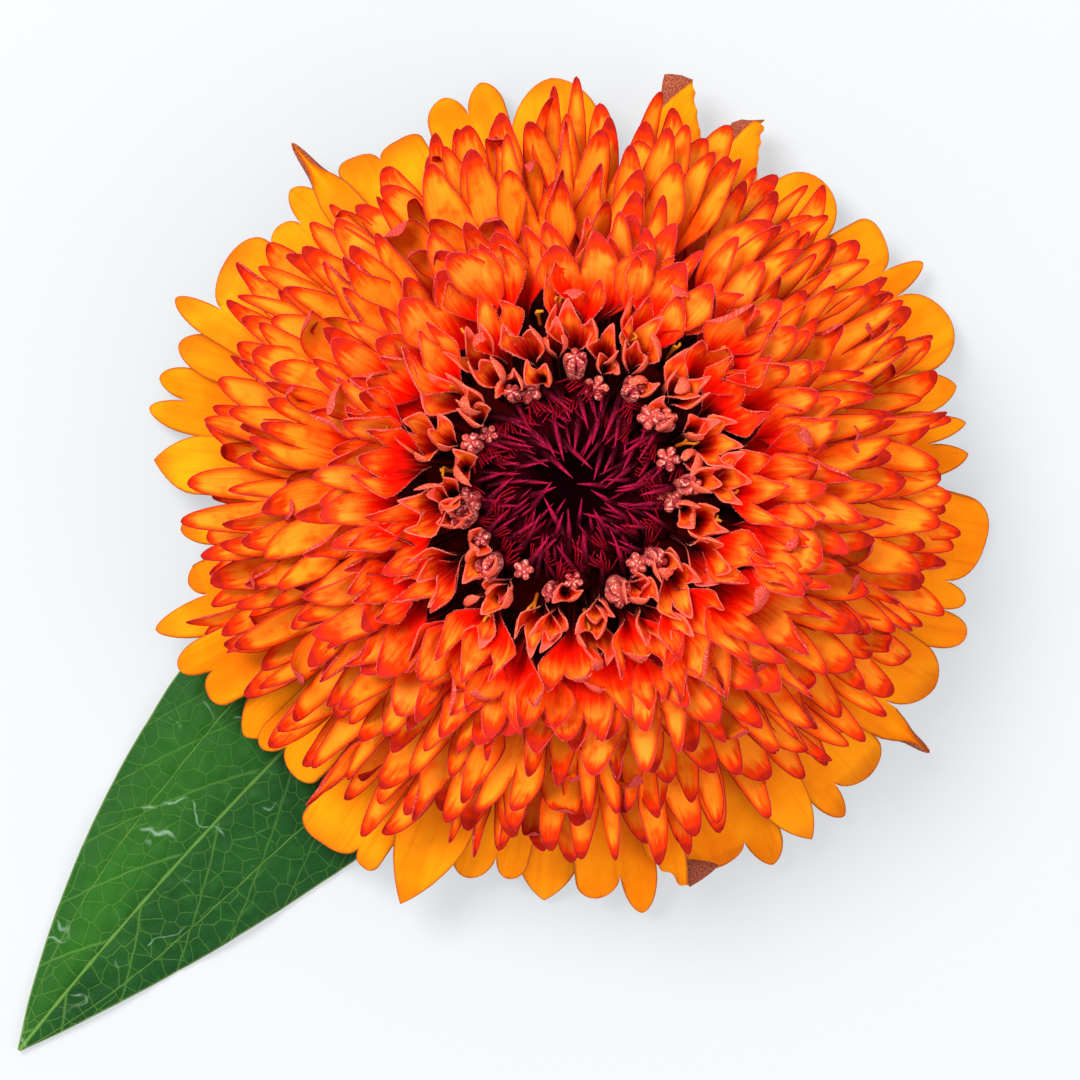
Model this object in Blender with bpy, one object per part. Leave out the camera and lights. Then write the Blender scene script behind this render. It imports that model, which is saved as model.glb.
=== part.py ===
"""Zinnia flower of the crested, scabious-flowered form: one cut bloom lying on its back, with one leaf.

Metres, +Z up. The origin is the middle of the stem's cut face, on the surface that the flower rests on.
The bloom's axis is +Z. Lengths below are millimetres and angles degrees; the makers turn them into metres.

The solids are: stem_and_bracts (stem, bract cup and receptacle, grown as one), leaf, ray_petals,
crest_florets, collar_florets and centre_chaff. Each layer of florets stands on a core that is seated on the
piece below it.
"""

import math
import random

import bmesh
import bpy
from mathutils import Vector

MM = 0.001
SEAT_GAP = 0.3
BLADE_THICKNESS = 0.62
# The root of every ring or blade that grows from a core starts on a disc this far along its way
FOOT = 0.001
# Share of a line that is stepped over to find its heading
HEADING_STEP = 0.01
# How much shorter than the middle lobe the outermost ones are, as a share of the lobed part
LOBE_FALL = 0.22
SMOOTH_ANGLE = 35.0

# Stem, bract cup and receptacle: (radius, height) up the outside, from the cut face to the top.
STEM_RADIUS = 3.6
STEM_PROFILE = ((STEM_RADIUS, 0.0), (3.4, 2.4), (3.7, 4.2))
CUP_PROFILE = ((3.7, 4.2), (5.9, 5.2), (7.6, 7.0), (8.4, 9.6), (8.3, 11.9))
RECEPTACLE_PROFILE = ((6.5, 12.1), (6.4, 13.6), (5.5, 17.0), (3.4, 20.0), (0.0, 21.2))
GREEN_SIDES = 16
# Bract whorls: (how many, start and end along the cup from 0 to 1, width, turn of the whorl)
BRACT_WHORLS = ((6, 0.10, 0.56, 5.4, 0.0), (8, 0.30, 0.80, 5.6, 17.0), (10, 0.52, 1.00, 5.2, 5.0))
BRACT_TIP_LIFT = 0.75
BRACT_SUNK = 0.35
BRACT_OUTLINE = ((0.0, 0.39), (0.45, 0.5), (1.0, 0.34))
BRACT_SPLIT = 0.62
BRACT_BLUNT = 0.4

# Leaf: plan points of its midrib, midrib heights and half widths from base to tip
LEAF_PLAN = ((-3.02, -2.54), (-28.3, -23.8), (-50.1, -51.1))
LEAF_HEIGHT = ((0.0, 2.3), (0.2, 2.9), (0.5, 2.2), (0.8, 1.3), (1.0, 0.55))
LEAF_HALF_WIDTH = ((0.0, 3.6), (0.15, 8.4), (0.42, 12.0), (0.62, 9.9), (0.81, 5.9), (0.93, 2.5), (1.0, 0.3))
LEAF_ROWS = 17
LEAF_COLUMNS = (-1.0, -0.72, -0.46, -0.2, 0.0, 0.2, 0.46, 0.72, 1.0)
LEAF_RIB_AT = 0.46
LEAF_EDGE_DROP = 0.125
LEAF_RIB_RELIEF = 0.28
# The leaf thins out where its half width is under this
LEAF_RIB_FADE = 6.0
LEAF_WAVE = 0.35
LEAF_WAVES = 4.5
LEAF_WAVE_FADE = 0.25

# Ray petals: (direction, reach, width, lobes, height of the tip)
RAYS = (
    (73, 38.2, 9.6, 1, 3.6), (60, 36.4, 8.0, 1, 1.6), (50, 36.2, 8.6, 2, 4.2), (32, 38.2, 11.2, 3, 2.2),
    (12, 36.2, 9.4, 3, 4.4), (-12, 38.8, 12.4, 3, 1.2), (-31, 38.4, 10.4, 2, 4.0), (-45, 38.2, 10.2, 2, 2.4),
    (-57, 38.4, 8.8, 2, 4.6), (-69, 37.8, 9.8, 3, 2.0), (-82, 38.8, 9.8, 3, 3.4), (-94, 38.2, 8.8, 2, 1.2),
    (-112, 40.0, 12.4, 3, 5.6), (-133, 37.2, 11.2, 3, 6.6), (-150, 39.6, 10.0, 2, 5.8),
    (-162, 39.4, 8.8, 1, 3.4), (-174, 37.0, 8.2, 2, 4.6), (170, 38.6, 11.8, 3, 1.0),
    (154, 39.0, 11.0, 2, 4.0), (140, 36.4, 9.0, 2, 1.8), (127, 38.4, 8.8, 2, 4.4),
    (108, 37.4, 9.8, 3, 1.4), (92, 36.8, 9.0, 1, 4.4),
)
# The rays stand in two layers, every other one in the lower: heights of the root and of the shoulder
RAY_ROOT_RADIUS = 8.6
RAY_SHOULDER_RADIUS = 21.0
RAY_LAYERS = ((13.5, 13.6), (12.8, 11.6))
RAY_ROLL = -5.0
# Half width along a ray as a share of its width, and where its rows of points lie
RAY_OUTLINE = ((0.0, 0.16), (0.3, 0.34), (0.72, 0.5), (1.0, 0.42))
RAY_JOINTS = (0.34, 0.64)
RAY_SPLIT = 0.86
RAY_BLUNT = 0.45
RAY_CUP = 0.12
RAY_RING_INNER = 6.9
RAY_RING_OUTER = 9.7
RAY_RING_HEIGHTS = (12.45, 13.95)

# Crest rows, lowest first: (florets, height of the root, tip radius, tip height, slope of the limb, width)
CREST_ROWS = (
    (23, 15.9, 33.6, 12.4, -24.0, 7.0),
    (22, 17.3, 33.0, 16.6, -10.0, 7.2),
    (21, 18.7, 31.4, 20.8, 5.0, 7.3),
    (19, 20.1, 28.8, 25.0, 20.0, 7.5),
    (16, 21.4, 25.6, 28.9, 33.0, 8.0),
    (12, 22.6, 22.2, 32.2, 45.0, 9.4),
)
# How far a floret strays from its even place: share of the pitch, share of the reach, lift, slope and roll
CREST_STRAY = (0.1, 0.025, 0.7, 5.0, 8.0)
CREST_STAGGER = 0.7
CREST_ROW_TURN = 137.5
CREST_ROOT_SUNK = 1.2
# The limb's bend lies this share of the floret's length short of its tip
CREST_BEND = 0.48
CREST_LOBES = (3, 3, 3, 4)
CREST_SIZES = (0.9, 1.06)
CREST_SWEEP = 0.6
CREST_OUTLINE = ((0.0, 0.11), (0.45, 0.17), (0.74, 0.5), (1.0, 0.5))
CREST_WAIST = 0.45
CREST_SPLIT = 0.74
CREST_CUP = 0.3
CREST_CORE = (
    (9.8, 14.25), (11.9, 15.2), (12.7, 17.4), (12.6, 20.4), (11.6, 23.2), (10.6, 23.95), (0.0, 23.95),
)
CREST_SEED = 7
CREST_SIDES = 20

# Collar: funnel florets, small florets and closed buds round the centre
COLLAR_RING_INNER = 7.6
COLLAR_RING_OUTER = 11.0
COLLAR_RING_HEIGHTS = (24.25, 26.0)
COLLAR_ROOT = (9.8, 24.95)
FUNNELS = 15
FUNNEL_MOUTH = (13.3, 32.6)
FUNNEL_SIDES = 5
FUNNEL_WALL = 0.62
FUNNEL_HALF_WIDTHS = (1.7, 2.1)
FUNNEL_HALF_DEPTHS = (1.3, 1.7)
FUNNEL_STRAY = (0.15, 0.7, 0.8)
SMALL_FLORETS = 13
SMALL_FLORET_TIP = (11.7, 32.0)
SMALL_FLORET_OUTLINE = ((0.0, 0.7), (0.5, 0.8), (0.8, 1.5), (1.0, 1.3))
SMALL_FLORET_BEND = (9.4, 2.0)
SMALL_FLORET_SPLIT = 0.78
SMALL_FLORET_CUP = 0.35
SMALL_FLORET_STRAY = (0.2, 0.7, 0.9, 25.0)
BUDS = 17
BUD_ROOT = (8.5, 24.95)
BUD_TIP = (9.7, 30.2)
BUD_SIDES = 4
BUD_RINGS = ((0.0, 0.0, 0.0), (FOOT, 0.5, 0.5), (0.8, 0.75, 0.7), (1.0, 0.0, 0.0))
BUD_STRAY = (0.2, 0.45, 0.8)
COLLAR_SEED = 11

# Centre: a low core with circles of chaff spikes (how many, circle, height) that lean in over a pit
CHAFF_CORE = ((7.3, 24.25), (7.2, 26.0), (5.2, 27.2), (2.6, 26.4), (0.0, 25.6))
CHAFF_CORE_SIDES = 16
CHAFF_CIRCLES = ((11, 2.5, 29.2), (17, 4.5, 30.8), (22, 6.4, 31.4))
CHAFF_RINGS = ((0.0, 0.0, 0.0), (FOOT, 0.46, 0.46), (0.6, 0.38, 0.38), (1.0, 0.0, 0.0))
CHAFF_SIDES = 3
CHAFF_ROOT_SUNK = 0.6
CHAFF_LEAN = (1.6, 2.6)
CHAFF_STRAY = (0.3, 0.8)
CHAFF_SEED = 5


def clear_scene():
    for old in list(bpy.data.objects):
        bpy.data.objects.remove(old, do_unlink=True)


def finish_material(name, colour, roughness):
    """A plain surface for one kind of plant tissue."""
    material = bpy.data.materials.new(name)
    material.use_nodes = True
    surface = material.node_tree.nodes["Principled BSDF"]
    surface.inputs["Base Color"].default_value = (*colour, 1.0)
    surface.inputs["Roughness"].default_value = roughness
    surface.inputs["Metallic"].default_value = 0.0
    return material


def mesh_object(name, points, faces):
    """A new object from points in millimetres."""
    mesh = bpy.data.meshes.new(name)
    mesh.from_pydata([Vector(point) * MM for point in points], [], faces)
    mesh.validate()
    made = bpy.data.objects.new(name, mesh)
    bpy.context.scene.collection.objects.link(made)
    return made


def between(table, at):
    """A smooth value at `at`, read from a short table of (place, value) pairs."""
    last = len(table) - 1
    step = max(i for i in range(last) if at >= table[i][0] or i == 0)
    (place_a, value_a), (place_b, value_b) = table[step], table[step + 1]
    before = table[max(step - 1, 0)]
    after = table[min(step + 2, last)]
    span = place_b - place_a
    slope_a = span * (value_b - before[1]) / (place_b - before[0])
    slope_b = span * (after[1] - value_a) / (after[0] - place_a)
    t = min(max((at - place_a) / span, 0.0), 1.0)
    rise = value_b - value_a
    squared, cubed = 3 * rise - 2 * slope_a - slope_b, slope_a + slope_b - 2 * rise
    return value_a + t * (slope_a + t * (squared + t * cubed))


def bow(start, middle, end, t):
    """A point on the curve that leaves start towards middle and arrives at end."""
    keep = 1.0 - t
    return tuple(keep * keep * a + 2 * keep * t * b + t * t * c for a, b, c in zip(start, middle, end))


def turned(profile, sides):
    """Points and faces of a closed body turned about +Z. A profile point on the axis becomes a pole."""
    points, rings = [], []
    for radius, height in profile:
        if radius == 0.0:
            rings.append([len(points)])
            points.append((0.0, 0.0, height))
            continue
        rings.append(list(range(len(points), len(points) + sides)))
        for side in range(sides):
            angle = 2 * math.pi * side / sides
            points.append((radius * math.cos(angle), radius * math.sin(angle), height))
    faces = []
    for low, high in zip(rings, rings[1:]):
        for side in range(sides):
            after = (side + 1) % sides
            if len(low) == 1:
                faces.append((low[0], high[after], high[side]))
            elif len(high) == 1:
                faces.append((low[side], low[after], high[0]))
            else:
                faces.append((low[side], low[after], high[after], high[side]))
    return points, faces


def turned_ring(inner, outer, heights, sides):
    """A ring of square section about +Z, closed on itself."""
    low, high = heights
    corners = ((inner, low), (outer, low), (outer, high), (inner, high))
    points, faces = turned(corners, sides)
    for side in range(sides):
        after = (side + 1) % sides
        faces.append((3 * sides + side, 3 * sides + after, after, side))
    return points, faces


def zip_rows(low, high):
    """Triangles that join two rows of (place across, point number), facing up if places grow to the left."""
    faces = []
    i = j = 0
    while i < len(low) - 1 or j < len(high) - 1:
        low_next = low[i + 1][0] if i < len(low) - 1 else math.inf
        high_next = high[j + 1][0] if j < len(high) - 1 else math.inf
        if low_next <= high_next:
            faces.append((low[i][1], high[j][1], low[i + 1][1]))
            i += 1
        else:
            faces.append((low[i][1], high[j][1], high[j + 1][1]))
            j += 1
    return faces


def thicken(points, faces, thickness):
    """A closed blade round a sheet of triangles, half of its thickness on each side."""
    normals = [Vector() for _ in points]
    sheet = [Vector(point) for point in points]
    for a, b, c in faces:
        normal = (sheet[b] - sheet[a]).cross(sheet[c] - sheet[a])
        for corner in (a, b, c):
            normals[corner] += normal
    half = [normal.normalized() * (thickness / 2) for normal in normals]
    front = [point + offset for point, offset in zip(sheet, half)]
    back = [point - offset for point, offset in zip(sheet, half)]
    count = len(points)
    closed = list(faces) + [(c + count, b + count, a + count) for a, b, c in faces]
    sides = {(face[i], face[(i + 1) % 3]) for face in faces for i in range(3)}
    for a, b in sorted(sides):
        if (b, a) not in sides:
            closed.append((b, a, a + count))
            closed.append((b, a + count, b + count))
    return front + back, closed


def blade(place, rows, lobes, blunt, split, thickness=BLADE_THICKNESS):
    """A closed blade: rows of (along, places across), then a tip for each lobe.

    place(along, across) gives a point, with along from 0 at the root to 1 and across from -1 to 1.
    A blunt lobe ends in an edge that is `blunt` of its width, and a pointed one, at 0, in a point.
    """
    points, faces, row_before = [], [], None
    edges = [-1.0 + 2.0 * i / lobes for i in range(lobes + 1)]
    if lobes == 1:
        edges = [-1.0, 0.0, 1.0]
    for along, across in (*rows, (split, edges)):
        row = []
        for where in across:
            row.append((where, len(points)))
            points.append(place(along, where))
        if row_before:
            faces += zip_rows(row_before, row)
        row_before = row
    spans = [row_before] if lobes == 1 else [row_before[i : i + 2] for i in range(lobes)]
    for span in spans:
        left, right = span[0][0], span[-1][0]
        middle, half = (left + right) / 2, (right - left) / 2
        end = 1.0 - LOBE_FALL * (1.0 - split) * abs(middle) * lobes
        tip = []
        for side in (-blunt, blunt) if blunt else (0.0,):
            tip.append((middle + side * half, len(points)))
            points.append(place(end, middle + side * half))
        faces += zip_rows(span, tip)
    return thicken(points, faces, thickness)


def widened(outline, width):
    """A table of half widths from one of shares of the width."""
    return tuple((along, share * width) for along, share in outline)


def petal_place(direction, root, shoulder, tip, outline, cup, roll=0.0, sweep=0.0):
    """The place function of a petal that leaves the axis at `direction` along a bowed line.

    outline is its table of half widths. Its sides stand up by `cup` times its half width, it is rolled about
    its own line by `roll`, and its tip is swept sideways by `sweep`.
    """
    angle = math.radians(direction)
    outward = Vector((math.cos(angle), math.sin(angle), 0.0))
    sideways = Vector((-math.sin(angle), math.cos(angle), 0.0))
    upward = Vector((0.0, 0.0, 1.0))

    def place(along, across):
        radius, height = bow(root, shoulder, tip, along)
        radius_on, height_on = bow(root, shoulder, tip, min(along + HEADING_STEP, 1.0))
        radius_by, height_by = bow(root, shoulder, tip, max(along - HEADING_STEP, 0.0))
        heading = outward * (radius_on - radius_by) + upward * (height_on - height_by)
        face = heading.cross(sideways).normalized()
        tilt = math.radians(roll) * min(1.0, along * 2)
        width_way = sideways * math.cos(tilt) + face * math.sin(tilt)
        face = face * math.cos(tilt) - sideways * math.sin(tilt)
        half = between(outline, along)
        middle = outward * radius + upward * height + sideways * (sweep * along * along)
        return middle + width_way * (across * half) + face * (cup * half * across * across)

    return place


def keep_outer_skin(mesh):
    """Fills the hollows that the growth sealed and drops loose scraps: only the widest skin stays."""
    skin = bmesh.new()
    skin.from_mesh(mesh)
    unseen, islands = set(skin.faces), []
    while unseen:
        edge_of_search = [unseen.pop()]
        island = set(edge_of_search)
        while edge_of_search:
            face = edge_of_search.pop()
            beside = {other for edge in face.edges for other in edge.link_faces} & unseen
            unseen -= beside
            island |= beside
            edge_of_search += beside
        islands.append(island)
    islands.sort(key=len)
    lost = [face for island in islands[:-1] for face in island]
    bmesh.ops.delete(skin, geom=lost, context="FACES")
    skin.to_mesh(mesh)
    skin.free()


def fuse(name, core, pieces, material):
    """One solid node of a core and the pieces that grow from it."""
    base = mesh_object(name, *core)
    growth = bpy.data.collections.new(name + "_growth")
    bpy.context.scene.collection.children.link(growth)
    for points, faces in pieces:
        piece = mesh_object(name + "_piece", points, faces)
        bpy.context.scene.collection.objects.unlink(piece)
        growth.objects.link(piece)
    union = base.modifiers.new("grow together", "BOOLEAN")
    union.operation = "UNION"
    union.operand_type = "COLLECTION"
    union.collection = growth
    union.solver = "MANIFOLD"
    graph = bpy.context.evaluated_depsgraph_get()
    grown = bpy.data.meshes.new_from_object(base.evaluated_get(graph))
    base.modifiers.remove(union)
    keep_outer_skin(grown)
    base.data = grown
    grown.name = name
    for piece in list(growth.objects):
        bpy.data.objects.remove(piece, do_unlink=True)
    bpy.data.collections.remove(growth)
    dress(base, material)
    return base


def dress(made, material):
    """Gives a finished node its surface."""
    made.data.materials.clear()
    made.data.materials.append(material)
    made.data.shade_smooth()
    made.data.set_sharp_from_angle(angle=math.radians(SMOOTH_ANGLE))


def bract_place(direction, start, end, width):
    """Returns the outer skin of one bract of the cup, which lifts off the cup towards its tip."""
    heights = [height for _, height in CUP_PROFILE]
    by_height = tuple((height, radius) for radius, height in CUP_PROFILE)

    def place(along, across):
        share = start + (end - start) * along
        height = heights[0] + share * (heights[-1] - heights[0])
        half = width * between(BRACT_OUTLINE, along)
        radius = between(by_height, height) + BRACT_TIP_LIFT * along * along
        angle = math.radians(direction) + across * half / radius
        return Vector((radius * math.cos(angle), radius * math.sin(angle), height))

    return place


def make_stem_and_bracts(material):
    """The cut stem, the cup with its overlapping bracts, and the receptacle that the florets sit on."""
    profile = ((0.0, 0.0), *STEM_PROFILE, *CUP_PROFILE[1:], *RECEPTACLE_PROFILE)
    core = turned(profile, GREEN_SIDES)
    bracts = []
    for count, start, end, width, turn in BRACT_WHORLS:
        for i in range(count):
            place = bract_place(turn + 360.0 * i / count, start, end, width)
            rows = ((0.0, (-1.0, 1.0)),)
            bracts.append(blade(place, rows, 1, BRACT_BLUNT, BRACT_SPLIT, thickness=2 * BRACT_SUNK))
    return fuse("stem_and_bracts", core, bracts, material)


def leaf_place(along, across):
    """A point of the leaf's middle sheet: a low roof over its midrib, with raised ribs and a waved edge."""
    x, y = bow(*LEAF_PLAN, along)
    x_on, y_on = bow(*LEAF_PLAN, min(along + HEADING_STEP, 1.0))
    x_by, y_by = bow(*LEAF_PLAN, max(along - HEADING_STEP, 0.0))
    heading = Vector((x_on - x_by, y_on - y_by, 0.0)).normalized()
    half = between(LEAF_HALF_WIDTH, along)
    wave = LEAF_WAVE * math.sin(2 * math.pi * LEAF_WAVES * along + across) * across * across
    wave *= min(1.0, (1.0 - along) / LEAF_WAVE_FADE)
    drop = LEAF_EDGE_DROP * across * across * half
    rib = LEAF_RIB_RELIEF if abs(across) in (0.0, LEAF_RIB_AT) else 0.0
    height = between(LEAF_HEIGHT, along) - drop + wave + rib * min(1.0, half / LEAF_RIB_FADE)
    sideways = Vector((-heading.y, heading.x, 0.0)) * (across * half)
    return Vector((x, y, max(height, BLADE_THICKNESS / 2))) + sideways


def make_leaf(material):
    """The one leaf, which lies on the surface and reaches the stem under the bloom."""
    rows = [(i / LEAF_ROWS, LEAF_COLUMNS) for i in range(LEAF_ROWS)]
    points, faces, row_before = [], [], None
    for along, across in (*rows, (1.0, (-1.0, 0.0, 1.0))):
        row = []
        for where in across:
            row.append((where, len(points)))
            points.append(leaf_place(along, where))
        if row_before:
            faces += zip_rows(row_before, row)
        row_before = row
    made = mesh_object("leaf", *thicken(points, faces, BLADE_THICKNESS))
    dress(made, material)
    return made


def make_ray_petals(material):
    """The skirt of broad outer petals on its own narrow ring."""
    petals = []
    for number, (direction, reach, width, lobes, tip_height) in enumerate(RAYS):
        root_height, shoulder_height = RAY_LAYERS[number % 2]
        root, shoulder = (RAY_ROOT_RADIUS, root_height), (RAY_SHOULDER_RADIUS, shoulder_height)
        outline = widened(RAY_OUTLINE, width)
        place = petal_place(direction, root, shoulder, (reach, tip_height), outline, RAY_CUP, RAY_ROLL)
        rows = ((0.0, (-1.0, 1.0)), *((joint, (-1.0, 0.0, 1.0)) for joint in RAY_JOINTS))
        petals.append(blade(place, rows, lobes, RAY_BLUNT, RAY_SPLIT))
    ring = turned_ring(RAY_RING_INNER, RAY_RING_OUTER, RAY_RING_HEIGHTS, CREST_SIDES)
    return fuse("ray_petals", ring, petals, material)


def crest_florets():
    """The crest florets one by one: (direction, root, shoulder, tip, width, lobes, roll, sweep)."""
    draw = random.Random(CREST_SEED)
    aside, shorter, lift, tilt, twist = CREST_STRAY
    core_sides = tuple((height, radius) for radius, height in CREST_CORE[:-2])
    for number, (count, root_height, tip_radius, tip_height, slope, width) in enumerate(CREST_ROWS):
        turn = CREST_ROW_TURN * number
        for i in range(count):
            direction = turn + (i + draw.uniform(-aside, aside)) * 360.0 / count
            reach = tip_radius * draw.uniform(1.0 - 2 * shorter, 1.0)
            top = tip_height + draw.uniform(-lift, lift) + CREST_STAGGER * (-1) ** i
            limb = math.radians(slope + draw.uniform(-tilt, tilt))
            root = (between(core_sides, root_height) - CREST_ROOT_SUNK, root_height)
            bend = CREST_BEND * math.dist(root, (reach, top))
            shoulder = (reach - bend * math.cos(limb), top - bend * math.sin(limb))
            lobes = draw.choice(CREST_LOBES)
            size = width * draw.uniform(*CREST_SIZES)
            roll, sweep = draw.uniform(-twist, twist), draw.uniform(-CREST_SWEEP, CREST_SWEEP)
            yield direction, root, shoulder, (reach, top), size, lobes, roll, sweep


def make_crest_florets(material):
    """The domed crest of lobed florets, standing out of a core that caps the receptacle."""
    florets = []
    for direction, root, shoulder, tip, width, lobes, roll, sweep in crest_florets():
        outline = widened(CREST_OUTLINE, width)
        place = petal_place(direction, root, shoulder, tip, outline, CREST_CUP, roll, sweep)
        rows = ((0.0, (-1.0, 1.0)), (CREST_WAIST, (-1.0, 1.0)))
        florets.append(blade(place, rows, lobes, 0.0, CREST_SPLIT))
    cap_hollow = [(radius + SEAT_GAP, height + SEAT_GAP) for radius, height in RECEPTACLE_PROFILE[1:-1]]
    top = (0.0, RECEPTACLE_PROFILE[-1][1] + SEAT_GAP)
    inner = (top, *reversed(cap_hollow), (RECEPTACLE_PROFILE[0][0] + SEAT_GAP, CREST_CORE[0][1]))
    core = turned((*inner, *CREST_CORE), CREST_SIDES)
    return fuse("crest_florets", core, florets, material)


def frame_at(direction, start, end):
    """(start, way along, sideways, face) of a straight floret that leans out in the plane of `direction`."""
    angle = math.radians(direction)
    outward = Vector((math.cos(angle), math.sin(angle), 0.0))
    foot = outward * start[0] + Vector((0.0, 0.0, start[1]))
    head = outward * end[0] + Vector((0.0, 0.0, end[1]))
    sideways = Vector((-math.sin(angle), math.cos(angle), 0.0))
    way = head - foot
    return foot, way, sideways, sideways.cross(way).normalized()


def stack(foot, way, sideways, face, rings, sides):
    """A closed body of rings: (along, half width, half depth). A ring of no width becomes a point."""
    points, loops = [], []
    for along, wide, deep in rings:
        centre = foot + way * along
        if wide == 0.0:
            loops.append([len(points)])
            points.append(centre)
            continue
        loops.append(list(range(len(points), len(points) + sides)))
        for side in range(sides):
            angle = 2 * math.pi * side / sides
            points.append(centre + sideways * (wide * math.cos(angle)) + face * (deep * math.sin(angle)))
    faces = []
    for low, high in zip(loops, loops[1:]):
        for side in range(sides):
            after = (side + 1) % sides
            if len(low) == 1:
                faces.append((low[0], high[side], high[after]))
            elif len(high) == 1:
                faces.append((low[side], high[0], low[after]))
            else:
                faces.append((low[side], high[side], high[after], low[after]))
    return points, faces


def collar_funnels(draw):
    """Florets rolled into a funnel, each with a mouth."""
    aside, outward, lift = FUNNEL_STRAY
    for i in range(FUNNELS):
        direction = (i + draw.uniform(-aside, aside)) * 360.0 / FUNNELS
        radius = FUNNEL_MOUTH[0] + draw.uniform(-outward, outward)
        height = FUNNEL_MOUTH[1] + draw.uniform(-lift, lift)
        wide, deep = draw.uniform(*FUNNEL_HALF_WIDTHS), draw.uniform(*FUNNEL_HALF_DEPTHS)
        outside = ((0.0, 0.0, 0.0), (FOOT, 0.8, 0.8), (0.55, 1.2, 1.1), (1.0, wide, deep))
        inside = ((1.0, wide - FUNNEL_WALL, deep - FUNNEL_WALL), (0.5, 0.45, 0.4), (0.5 - FOOT, 0.0, 0.0))
        rings = outside + inside
        yield stack(*frame_at(direction, COLLAR_ROOT, (radius, height)), rings, FUNNEL_SIDES)


def collar_small_florets(draw):
    """Small open florets with two lobes, between the funnels."""
    aside, outward, lift, twist = SMALL_FLORET_STRAY
    bend_radius, bend_below_tip = SMALL_FLORET_BEND
    for i in range(SMALL_FLORETS):
        direction = (i + 0.5 + draw.uniform(-aside, aside)) * 360.0 / SMALL_FLORETS
        radius = SMALL_FLORET_TIP[0] + draw.uniform(-outward, outward)
        height = SMALL_FLORET_TIP[1] + draw.uniform(-lift, lift)
        shoulder = (bend_radius, height - bend_below_tip)
        place = petal_place(
            direction, COLLAR_ROOT, shoulder, (radius, height),
            SMALL_FLORET_OUTLINE, SMALL_FLORET_CUP, draw.uniform(-twist, twist),
        )
        yield blade(place, ((0.0, (-1.0, 1.0)), (0.5, (-1.0, 1.0))), 2, 0.0, SMALL_FLORET_SPLIT)


def collar_buds(draw):
    """Closed buds, innermost."""
    aside, outward, lift = BUD_STRAY
    for i in range(BUDS):
        direction = (i + draw.uniform(-aside, aside)) * 360.0 / BUDS
        tip = (BUD_TIP[0] + draw.uniform(-outward, outward), BUD_TIP[1] + draw.uniform(-lift, lift))
        yield stack(*frame_at(direction, BUD_ROOT, tip), BUD_RINGS, BUD_SIDES)


def make_collar_florets(material):
    """The youngest open florets round the centre, all on one ring."""
    draw = random.Random(COLLAR_SEED)
    pieces = [*collar_funnels(draw), *collar_small_florets(draw), *collar_buds(draw)]
    ring = turned_ring(COLLAR_RING_INNER, COLLAR_RING_OUTER, COLLAR_RING_HEIGHTS, CREST_SIDES)
    return fuse("collar_florets", ring, pieces, material)


def make_centre_chaff(material):
    """The dark centre: chaff spikes that lean in over the pit of a low core."""
    draw = random.Random(CHAFF_SEED)
    core_top = tuple((radius, height) for radius, height in reversed(CHAFF_CORE[1:]))
    aside, lift = CHAFF_STRAY
    spikes = []
    for count, circle, top in CHAFF_CIRCLES:
        for i in range(count):
            direction = (i + draw.uniform(-aside, aside)) * 360.0 / count
            foot = (circle, between(core_top, circle) - CHAFF_ROOT_SUNK)
            head = (circle - draw.uniform(*CHAFF_LEAN), top + draw.uniform(-lift, lift))
            spikes.append(stack(*frame_at(direction, foot, head), CHAFF_RINGS, CHAFF_SIDES))
    core = turned(((0.0, CHAFF_CORE[0][1]), *CHAFF_CORE), CHAFF_CORE_SIDES)
    return fuse("centre_chaff", core, spikes, material)


def main():
    clear_scene()
    leaf_green = finish_material("leaf_green", (0.035, 0.16, 0.03), 0.5)
    stem_green = finish_material("stem_green", (0.13, 0.27, 0.06), 0.6)
    golden = finish_material("golden_petal", (0.95, 0.36, 0.01), 0.55)
    orange = finish_material("orange_floret", (0.9, 0.14, 0.01), 0.5)
    salmon = finish_material("salmon_floret", (0.86, 0.24, 0.09), 0.55)
    maroon = finish_material("maroon_chaff", (0.11, 0.004, 0.03), 0.5)
    make_stem_and_bracts(stem_green)
    make_leaf(leaf_green)
    make_ray_petals(golden)
    make_crest_florets(orange)
    make_collar_florets(salmon)
    make_centre_chaff(maroon)


main()
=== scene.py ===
import random
from functools import cache
from math import copysign, cos, dist, pi, radians, sin
from types import SimpleNamespace

import bpy
import numpy as np
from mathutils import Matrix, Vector


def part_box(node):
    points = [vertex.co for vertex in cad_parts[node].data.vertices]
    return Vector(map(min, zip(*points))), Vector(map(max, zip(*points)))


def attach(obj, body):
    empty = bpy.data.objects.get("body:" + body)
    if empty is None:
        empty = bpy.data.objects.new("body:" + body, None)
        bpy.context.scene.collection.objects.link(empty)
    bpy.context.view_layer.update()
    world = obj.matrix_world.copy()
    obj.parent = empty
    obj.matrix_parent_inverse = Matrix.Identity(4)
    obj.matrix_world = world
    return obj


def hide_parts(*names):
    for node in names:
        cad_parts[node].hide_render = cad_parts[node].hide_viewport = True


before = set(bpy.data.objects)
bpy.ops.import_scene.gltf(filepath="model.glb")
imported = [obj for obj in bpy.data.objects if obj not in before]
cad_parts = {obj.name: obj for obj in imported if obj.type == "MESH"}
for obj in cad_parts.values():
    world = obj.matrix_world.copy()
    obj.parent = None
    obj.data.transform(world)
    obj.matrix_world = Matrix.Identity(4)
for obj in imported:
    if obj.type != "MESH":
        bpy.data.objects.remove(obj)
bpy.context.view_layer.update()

MM = 0.001
BODY = "root"


# ---- node maths


def operator(operation, last=False):
    """A method that adds a Math node, with the wire as its first value or its last."""
    return lambda wire, other: wire.maths(operation, *((other, wire) if last else (wire, other)))


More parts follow.
